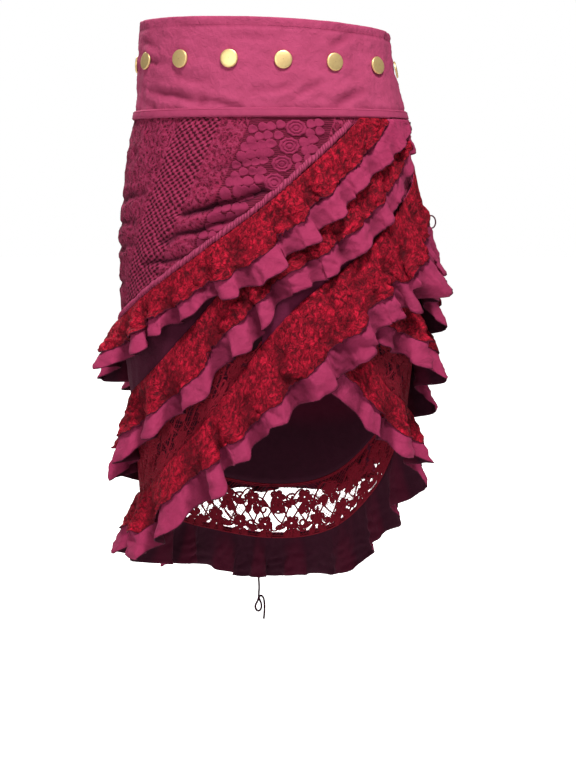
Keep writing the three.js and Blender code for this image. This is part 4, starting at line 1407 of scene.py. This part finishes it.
# ---- Panels --------------------------------------------------------------------------
@dataclass(frozen=True)
class HipPanel:
    """The cutwork panel over its dark lining, and the guipure raised on it: rosettes in
    rows down its slant, with round discs beside them. A rosette's and a disc's profile is
    shares of the way out from its middle and heights off the cloth, in millimetres."""

    columns: int = 450
    rows: int = 56
    wall: float = 1.4
    repeat: float = 120.0
    slant: float = 0.15
    pitch: float = 19.0
    rosette: float = 11.6
    rosette_turn: float = 12.5
    rosette_top: float = -68.4
    rosette_rows: int = 18
    rosette_squash: float = 0.76
    disc_from: float = 17.5
    disc_pitch: float = 10.2
    disc_halves: tuple[tuple[float, float], tuple[float, float]] = ((6.7, 5.3), (5.7, 4.9))
    disc_stray: tuple[float, float] = (0.45, 0.8)
    disc_seed: int = 81
    room_below: float = 15
    room_above: float = 9
    full_crease: float = 4
    disc_profile: tuple[tuple[float, float], ...] = (
        (0, 0.9), (0.3, 1.1), (0.45, 0.95), (0.75, 1.2), (0.93, 0.9), (1.0, 0.0),
    )
    rosette_profile: tuple[tuple[float, float], ...] = (
        (0, 1.5), (0.16, 1.6), (0.24, 1.3), (0.28, 0.2), (0.36, 0.2), (0.40, 1.2), (0.5, 1.4),
        (0.58, 1.2), (0.62, 0.1), (0.7, 0.1), (0.74, 1.1), (0.86, 1.3), (0.95, 1.1), (1.0, 0.0),
    )

    def face(self, turn: Array, z: Array, out: Array | float = 0.0) -> Array:
        """Points on the panel's outer face, or so many millimetres off it."""
        sag = np.minimum(crease_shape(wrapped(turn), z)[1], np.maximum(PANEL_TOP - 2 - z, 0))
        return skin(turn, z - sag, panel_face(turn, z) + out)

    def deep(self, turn: Array, z: Array) -> Array:
        """How deep places on the panel lie in its creases, as a share of a full one, for the painted shade
        there.
        """
        return crease_depth(wrapped(turn), z) / self.full_crease

    def lobed(self, steps: int, lobes: int, share: float, phase: float) -> Array:
        """A circle of radius 1 whose edge waves in and out by a share, in so many lobes."""
        angle = np.linspace(0, 2 * math.pi, steps, endpoint=False)
        return (1 + share * np.cos(lobes * angle + phase))[:, None] * circle(steps)

    def build(self, looks: Looks) -> None:
        """Makes the panel, with its bands' coordinates on the slant, and the guipure."""
        turn = np.linspace(BODY_START, OUTER_END, self.columns + 1)[:, None]
        low = hip_edge(turn[:-1])
        z = PANEL_TOP + (low - PANEL_TOP) * np.linspace(0, 1, self.rows)
        high = np.concatenate([z, z[:1]])
        along = turn * MM_PER_DEGREE + 0 * high
        band = (turn - self.slant * (high - SLANT_FROM)) * MM_PER_DEGREE
        uv = np.stack([along, -high, band, -high], axis=-1) * MM
        cloth = Cloth(looks[Finish.EYELET], looks[Finish.LINING], self.wall, "eyelet_cotton", "draped")
        # Painted shade where the panel lies in its creases.
        cloth.sheet("hip_cloth", "hip_panel", self.face(turn[:-1], z), self.deep(turn[:-1], z), uv)
        self.guipure(looks[Finish.GUIPURE])

    def domes(self, parts: MeshParts, centres: Array, outline: Array,
              profile: Sequence[Sequence[float]]) -> Array:
        """Sews round motifs on the panel, keeping their true size and off its edges.

        Args:
            parts: the mesh that they go into.
            centres: turns and heights of the centres.
            outline: the motif's edge in millimetres round its centre, as (step, 2).
            profile: shares of the way out, and heights off the cloth in millimetres.

        Returns:
            How deep each point lies in a crease, for its painted shade.
        """
        share, high = np.array(profile, float).T
        over = centres[:, 1] > hip_edge(centres[:, 0]) + self.room_below
        turn, z = centres[over & (centres[:, 1] < PANEL_TOP - self.room_above)].T[:, :, None, None]
        local = outline[:, None, :] * share[:, None]
        around, up = turn + local[..., 0] / mm_per_degree(turn, z), z + local[..., 1]
        points = self.face(around, up, high)
        at = np.arange(around.size).reshape(around.shape)
        parts.add(points, quads(np.concatenate([at, at[:, :1]], axis=1)),
                  np.broadcast_to(local, (*around.shape, 2)) * MM)
        return self.deep(around, up).ravel()

    def guipure(self, material: Look) -> None:
        """Makes the rosettes and the discs, which stray a little from their rows."""
        z = self.rosette_top - self.pitch * np.arange(self.rosette_rows)
        rosettes, discs = [], []
        for number in range(-2, 2):
            turn = self.rosette_turn + self.repeat * number + self.slant * (z - SLANT_FROM)
            rosettes.append(np.stack([turn, z], axis=-1))
            for side, steps, lean, above, rise in ((-1, 4, -3, 2.6, -1.3), (1, 2, 0, 4.8, 1.3)):
                for step, half in ((step, half) for step in range(steps) for half in (0, 1)):
                    away = side * (self.disc_from + self.disc_pitch * step) + lean * half
                    high = z + above - self.pitch / 2 * half + rise * step
                    discs.append(np.stack([turn + away / MM_PER_DEGREE, high], axis=-1))
        rng = np.random.default_rng(self.disc_seed)
        large, small = np.concatenate(rosettes), np.concatenate(discs)
        small = small + rng.normal(0, 1, small.shape) * np.array(self.disc_stray)
        for places in (large, small):
            places[:, 0] = wrapped(places[:, 0])
        large, small = (places[places[:, 0] > BODY_START] for places in (large, small))
        parts = MeshParts()
        wavy = self.lobed(30, 10, 0.07, 0) * np.array([1, self.rosette_squash]) * self.rosette
        deep = [self.domes(parts, large, wavy, self.rosette_profile)]
        for n, halves in enumerate(self.disc_halves):
            outline = self.lobed(12, 3, 0.10, 0.5) * np.array(halves)
            deep.append(self.domes(parts, small[n::2], outline, self.disc_profile))
        piece = parts.build("hip_guipure", material)
        # Painted shade where the guipure lies in the panel's creases.
        mark_hollows(piece, np.concatenate(deep))
        register(piece)


@dataclass(frozen=True)
class BasePanel:
    """The plain panel under the ruffles, down to the lace inserts, and to the hem's seam
    where there is none. It steps at the inserts' ends."""

    columns: tuple[int, int, int] = (300, 40, 84)
    rows: int = 22
    wall: float = 1.4
    step: float = 0.12
    shade: float = 1.35

    def build(self, looks: Looks) -> None:
        """Makes the panel, with painted shade close under the top frill."""
        ends = (BODY_START, INSERT_FRONT - self.step, INSERT_FRONT + self.step, INSERT_LAP - self.step,
                INSERT_LAP + self.step, OUTER_END)
        runs = [np.linspace(ends[2 * n], ends[2 * n + 1], count) for n, count in enumerate(self.columns)]
        turn = np.concatenate(runs)[:-1, None]
        over_insert = (turn < INSERT_FRONT) | (turn > INSERT_LAP)
        low = body_edge(turn) + np.where(over_insert, INSERT_HIGH + PANEL_SEAM, 0)
        high = hip_edge(turn) - PANEL_SEAM
        z = high + (low - high) * np.linspace(0, 1, self.rows)
        around = np.broadcast_to(turn, z.shape)
        points = skin(around, z, rumple(around * MM_PER_DEGREE, z, 22, 51) * 0.3 - 0.4)
        along = np.concatenate([around, around[-1:] + 1]) * MM_PER_DEGREE
        uv = np.stack([along, -np.concatenate([z, z[:1]])], axis=-1) * MM
        below = TIERS[0].edges(fold_at(around, z))[2] - z
        cloth = Cloth(looks[Finish.BASE], looks[Finish.WRONG_SIDE_IN_PAINTED_SHADE], self.wall, "mulberry_cotton", "hung")
        # Painted shade: darker close under the top frill's hem.
        cloth.sheet("base_cloth", "base_panel", points, self.shade * (1 - smoothstep(below, 12, 58)), uv)


@dataclass(frozen=True)
class Piping:
    """The shirred strip along the hip panel's slanting edge, gathered in even ruches."""

    outer: float = 34
    inner: float = -268
    wide: float = 7.6
    ruche: float = 3.9
    columns: int = 1600
    rows: int = 7
    wall: float = 0.7
    cut: float = 0.011

    def build(self, looks: Looks) -> None:
        """Makes the strip."""
        fold = np.linspace(self.inner, self.outer, self.columns)[:, None]
        part = np.linspace(0, 1, self.rows)
        along = fold * MM_PER_DEGREE
        phase = (along + 3 * part) * math.pi / self.ruche + 1.6 * rumple(along, 0, 22, 61)
        full = np.abs(np.sin(phase)) ** 0.7
        z = TIERS[0].edges(fold)[0] + 0.4 + self.wide * (1 - part) + 0.5 * rumple(along, 0, 7, 62)
        points = skin(fold_turn(fold, z), z, 0.5 + np.sin(math.pi * part) * (1.0 + 3.2 * full))
        strip = Cloth(looks[Finish.BINDING], None, self.wall, "binding_cotton", "gathered")
        # Painted shade in the valleys between the ruches.
        strip.sheet("piping_strip", "edge_piping", points, 1.1 - 1.3 * full)


# ---- Lace inserts --------------------------------------------------------------------
@dataclass(frozen=True)
class LaceInsert:
    """A strip of open floral lace: flowers, leaves and scrolls on a light net, between
    two narrow edge bands. Places on it are millimetres along it and up from its lower
    edge."""

    node: str
    start: float
    end: float
    seed: int
    unit: float = 38.0
    tall: float = 84.0
    mesh: float = 6.0
    pace: float = 3.0
    thread: tuple[float, float] = (0.4, 0.3)
    cord_thick: float = 0.45
    edge_cords: tuple[tuple[float, float], ...] = ((1.4, 1.3), (4.6, 0.7), (80.0, 0.7), (82.6, 1.3))
    stems: tuple[tuple[float, float], ...] = ((22, 0), (20, math.pi), (34, 1.6), (31, 4.4))
    row_off: float = 19.0
    petal: float = 6.2
    petal_stray: float = 0.7
    heart: float = 2.6
    leaf: tuple[float, float] = (7.0, 3.0)
    leaf_away: float = 18.0
    leaf_turns: tuple[float, float, float] = (0.5, 1.25, 2.0)
    tendril: float = 9.0
    outer_cord: float = 1.7
    inner_cord: float = 1.5
    heart_cord: float = 1.4
    tendril_cord: float = 1.6
    stem_cord: float = 1.3

    def place(self, along: Array, up: Array) -> tuple[Array, Array]:
        """Points in metres and their outward normals."""
        low, high = sorted((self.start, self.end))
        turn = self.start + along * math.copysign(1 / self.pace, self.end - self.start)
        turn = np.clip(turn, low, high)
        z = body_edge(turn) + up
        points = skin(turn, z, np.array(-0.6))
        return points, unit(points - skin(turn, z, np.array(-1.6)))

    def build(self, looks: Looks) -> None:
        """Makes the net with its edge bands, and the flowers worked on it."""
        long = abs(self.end - self.start) * self.pace
        flowers, ground = MeshParts(), MeshParts()
        self.flowers(flowers, long)
        worked = flowers.build(self.node.replace("lace_insert", "net_flowers"), looks[Finish.NET])
        register(worked)
        self.ground(ground, long)
        piece = ground.build(self.node.replace("lace_insert", "net"), looks[Finish.NET])
        register(piece, [self.node])
        faces = np.zeros(len(piece.data.polygons), np.float32)
        piece.data.polygons.foreach_get("area", faces)

    def ground(self, parts: MeshParts, long: float) -> None:
        """Makes the diamond net, whose threads lean at 45 degrees to both sides, and its
        two edge bands of two flat cords each."""
        along = np.linspace(0.6, long - 0.6, int(long / 3))
        for up, half in self.edge_cords:
            points, normal = self.place(along, np.full(along.shape, up))
            parts.tubes(points[None], normal[None], half, self.cord_thick)
        first = np.arange(-self.tall, long, self.mesh)[:, None]
        lift = np.linspace(0, self.tall, 9)
        for lean, rise in ((-1, self.tall - lift), (1, lift)):
            x = first + rise + rumple(first, lift, 20, self.seed + lean) * 1.5
            ok = (x.min(axis=1) > 0) & (x.max(axis=1) < long)
            points, normal = self.place(x[ok], lift)
            parts.tubes(points, normal, *self.thread)

    def flowers(self, parts: MeshParts, long: float) -> None:
        """Works two staggered rows of flowers with their leaves, curled tendrils and
        waving stems, in flat cords. A petal is an ellipse with a smaller one inside, a
        leaf a pointed ellipse, and a tendril a spiral that closes by three quarters."""
        rng = np.random.default_rng(self.seed)
        ring = circle(10)
        pointed = np.stack([ring[:, 0], ring[:, 1] * np.abs(ring[:, 1]) ** 0.4], axis=-1)
        leaf = pointed * np.array(self.leaf)
        count = int(long // self.unit)
        gap = long / count
        middle = self.tall / 2
        stamps: list[tuple[float, Array]] = []

        def outline(axes: Array, shape: Array, away: float, inner: float, inside: float) -> None:
            """Adds a shape set off from the centre along its axis, and a smaller one in it."""
            stamps.append((self.outer_cord, centre + axes[0] * away + shape @ axes))
            stamps.append((self.inner_cord, centre + axes[0] * inner + shape @ axes * inside))

        for n in range(2 * count):
            up = middle + self.row_off * (-1) ** n + rng.uniform(-3, 3)
            centre = np.array([gap * (n + 0.5) / 2, up])
            twist = rng.uniform(0, 2 * math.pi)
            for petal in range(5):
                size = self.petal + rng.uniform(-self.petal_stray, self.petal_stray)
                axes = self.axes(twist + petal * 2 * math.pi / 5)
                outline(axes, ring * np.array([0.62, 0.6]) * size, size * 1.15, size, 0.42)
            stamps.append((self.heart_cord, centre + ring * self.heart))
            for side in (-1, 1):
                for turn in self.leaf_turns:
                    lean = side * turn + (math.pi if side < 0 else 0) + rng.uniform(-0.2, 0.2)
                    outline(self.axes(-lean), leaf, self.leaf_away, self.leaf_away, 0.35)
        for wide in sorted({w for w, _ in stamps}):
            self.work(parts, np.stack([line for w, line in stamps if w == wide]), wide, True)
        n = np.arange(2 * count)[:, None]
        curl = np.linspace(0, 1, 16)
        spin = curl * 5.5 * (-1.0) ** n
        radius = self.tendril * (1 - 0.75 * curl)
        across = gap * 0.5 * (n + 0.1) + radius * np.cos(spin) + 12 * curl
        up = middle + 26 * np.sin(n * 2.1) + radius * np.sin(spin)
        self.work(parts, np.stack([across, up], axis=-1), self.tendril_cord, False)
        stem = np.linspace(0, long, int(long / 3))
        tall, phase = np.array(self.stems).T[:, :, None]
        up = middle + tall * np.sin(stem / gap * math.pi + phase)
        self.work(parts, np.stack(np.broadcast_arrays(stem, up), axis=-1), self.stem_cord, False)

    def axes(self, turn: float) -> Array:
        """The direction at a turn, and the one square to it, as rows."""
        c, s = math.cos(turn), math.sin(turn)
        return np.array([(c, s), (-s, c)])

    def work(self, parts: MeshParts, lines: Array, half: float, closed: bool) -> None:
        """Lays flat cords of one half width along lines, kept off the strip's edges."""
        points, normal = self.place(lines[..., 0], np.clip(lines[..., 1], 3, self.tall - 3))
        parts.tubes(points, normal, half, self.cord_thick, closed=closed)


# ---- Ruffles -------------------------------------------------------------------------
@dataclass(frozen=True)
class Ruffle:
    """One gathered frill with its dark overlocked hem, and the lace that lies on it."""

    k: int
    frill_rows: int = 24
    lace_rows: int = 22
    frill_shortest: float = 5.0
    lace_shortest: float = 3.0
    frill_wall: float = 0.9
    lace_wall: float = 0.8
    lace_lift: float = 4.2
    column_mm: float = 1.6
    edge_half: float = 0.6
    hem_sink: float = -0.45
    lace_edge_sink: float = -0.4

    def build(self, looks: Looks) -> None:
        """Makes the frill, its hem, the lace and the lace's edge."""
        form = RuffleForm(self.k)
        name, span, thread = form.tier.name, form.COLUMNS_PER_WAVE // 2, looks[Finish.THREAD]
        cotton, wrong, crimson = (looks[n] for n in (Finish.MULBERRY, Finish.WRONG_SIDE_IN_PAINTED_SHADE, Finish.CRIMSON))
        points = form.surface("frill", self.frill_rows, self.frill_shortest)
        frill = Cloth(cotton, wrong, self.frill_wall, "mulberry_cotton", "gathered")
        # The frill and the lace get painted shade in the hollows between their folds.
        frill.sheet(f"{name}_cloth", f"{name}_frill", points, hollows(points, span))
        self.edge(f"{name}_hem", points, thread, self.hem_sink)
        points = self.puckered(form.surface("lace", self.lace_rows, self.lace_shortest), form.tier.seed)
        lace = Cloth(crimson, crimson, self.lace_wall, "crimson_lace", "gathered")
        lace.sheet(f"{name}_lace_cloth", f"{name}_lace", points, hollows(points, span))
        self.edge(f"{name}_lace_edge", points, thread, self.lace_edge_sink)

    def puckered(self, points: Array, seed: int) -> Array:
        """Points of the lace, lifted off the frill: more the lower they are, with puffs
        and crisp puckers, and never less than about half a millimetre."""
        part = np.linspace(0, 1, self.lace_rows)
        along = np.arange(len(points))[:, None] * self.column_mm
        loose = np.clip(0.75 + 0.4 * rumple(along, part * 20, 30, seed + 20), 0.2, 1.4)
        puffs = 2.1 * rumple(along, part * 42, 22, seed + 21)
        puffs = puffs + 1.1 * crumple(along, part * 42, 12, seed + 22)
        lift = 0.9 + self.lace_lift * part**2.2 * loose + puffs * smoothstep(part, 0.05, 0.5)
        return points + grid_normals(points) * soft_max(lift, np.array(0.5), 1.0)[..., None] * MM

    def edge(self, name: str, points: Array, material: Look, sink: float) -> None:
        """Makes a rolled dark edge along the last row of points, sunk in millimetres."""
        normal = grid_normals(points)[:, -1]
        path = points[:, -1] + normal * sink * MM
        parts = MeshParts()
        parts.tubes(path[None], normal[None], self.edge_half, self.edge_half * 0.9, 6)
        register(parts.build(name, material))


def hollows(points: Array, span: int) -> Array:
    """How deep each point of a gathered strip lies between its folds, for the painted shade there: the mean
    distance from the upright axis of its row's points, so many columns to both sides, less its own
    distance, as a share of a full hollow.

    Args:
        points: points in metres as (column, row, 3).
        span: columns to each side.

    Returns:
        0 on the crests to 1 in the deepest hollows.
    """
    far = np.hypot(points[..., 0], points[..., 1]) / MM
    padded = np.pad(far, ((span + 1, span), (0, 0)), mode="edge")
    total = np.cumsum(padded, axis=0)
    mean = (total[2 * span + 1:] - total[:-2 * span - 1]) / (2 * span + 1)
    return (mean - far) / FULL_HOLLOW


# ---- Studio --------------------------------------------------------------------------
@dataclass(frozen=True)
class Studio:
    """A plain white floor and surroundings, soft light from the front, and the camera.
    A light is its name, its place, its size in metres and its power in watts."""

    floor: float = -0.95
    half: float = 8.0
    paper: str = "#f4f4f4"
    glow: float = 0.92
    lens: float = 49.69
    place: tuple[float, float, float] = (0.024, -1.300, -0.101)
    tilt: float = 78.0
    ambient: float = 0.1
    aim: tuple[float, float, float] = (0, 0, -0.3)
    lamps: tuple[tuple[str, tuple[float, float, float], float, float], ...] = (
        ("key", (0.35, -1.3, 2.0), 0.5, 84),
        ("fill", (-0.8, -2.3, 0.4), 1.0, 18),
        ("back", (-0.9, 1.7, 1.5), 1.0, 62),
    )

    def camera(self) -> None:
        """Makes the camera."""
        data = bpy.data.cameras.new("camera")
        data.lens = self.lens
        data.sensor_width = 36
        data.clip_end = 30
        camera = bpy.data.objects.new("camera", data)
        camera.location = self.place
        camera.rotation_euler = (math.radians(self.tilt), 0, 0)
        bpy.context.scene.collection.objects.link(camera)
        bpy.context.scene.camera = camera

    def ground(self) -> None:
        """Makes the white floor, which glows a little so that it meets the white air."""
        side = np.linspace(-self.half, self.half, 3)
        points = np.stack(np.broadcast_arrays(side[:, None], -side, self.floor), axis=-1)
        parts = MeshParts()
        parts.grid(points, points[..., :2])
        material, tree, shader = start_material("white studio paper", 0.9)
        shader.inputs["Base Color"].default_value = srgb(self.paper)
        shader.inputs["Emission Color"].default_value = srgb("#ffffff")
        seen = add_node(tree, "LightPath").outputs["Is Camera Ray"]
        tree.links.new(times(tree, seen, self.glow), shader.inputs["Emission Strength"])
        parts.build("studio_floor", material)
        LOG.info("studio floor: %.1f m wide", 2 * self.half)

    def light(self, name: str, place: tuple[float, float, float], size: float, power: float) -> None:
        """Adds a square soft light that shines from a place at the skirt."""
        data = bpy.data.lights.new(name, "AREA")
        data.size = size
        data.energy = power
        lamp = bpy.data.objects.new(name, data)
        lamp.location = place
        x, y, z = np.array(place) - np.array(self.aim)
        lamp.rotation_euler = (math.atan2(math.hypot(x, y), z), 0, math.atan2(x, -y))
        bpy.context.scene.collection.objects.link(lamp)
        LOG.info("light %s: %.0f W", name, power)

    def lights(self) -> None:
        """Makes the lights and the surroundings: white to the camera, dim for the rest."""
        world = bpy.data.worlds.new("studio_air")
        world.use_nodes = True
        tree = world.node_tree
        air = tree.nodes["Background"]
        air.inputs[0].default_value = srgb("#ffffff")
        seen = add_node(tree, "LightPath").outputs["Is Camera Ray"]
        tree.links.new(calc(tree, "MULTIPLY_ADD", seen, 1.0 - self.ambient, self.ambient), air.inputs[1])
        bpy.context.scene.world = world
        for lamp in self.lamps:
            self.light(*lamp)
        bpy.context.scene.view_settings.view_transform = "Standard"


def main() -> None:
    """Builds the skirt piece by piece."""
    logging.basicConfig(level=logging.INFO, format="%(name)s %(message)s")
    studio = Studio()
    studio.camera()
    looks = {finish: finish.value.material() for finish in Finish}
    SideLoop().build(looks[Finish.THREAD])
    # The tie takes the darkened wrong side's finish: its dark colour is painted shade.
    BackTie().build(looks[Finish.WRONG_SIDE_IN_PAINTED_SHADE])
    Waistband().build(looks)
    Snaps().build(looks)
    HipPanel().build(looks)
    BasePanel().build(looks)
    Piping().build(looks)
    LaceInsert("lace_insert_left", INSERT_FRONT, -180, 71).build(looks)
    LaceInsert("lace_insert_right", 180, INSERT_LAP, 72).build(looks)
    for k in range(len(TIERS)):
        Ruffle(k).build(looks)
    studio.ground()
    studio.lights()
    LOG.info("the skirt is built")


if __name__ == "__main__":
    main()
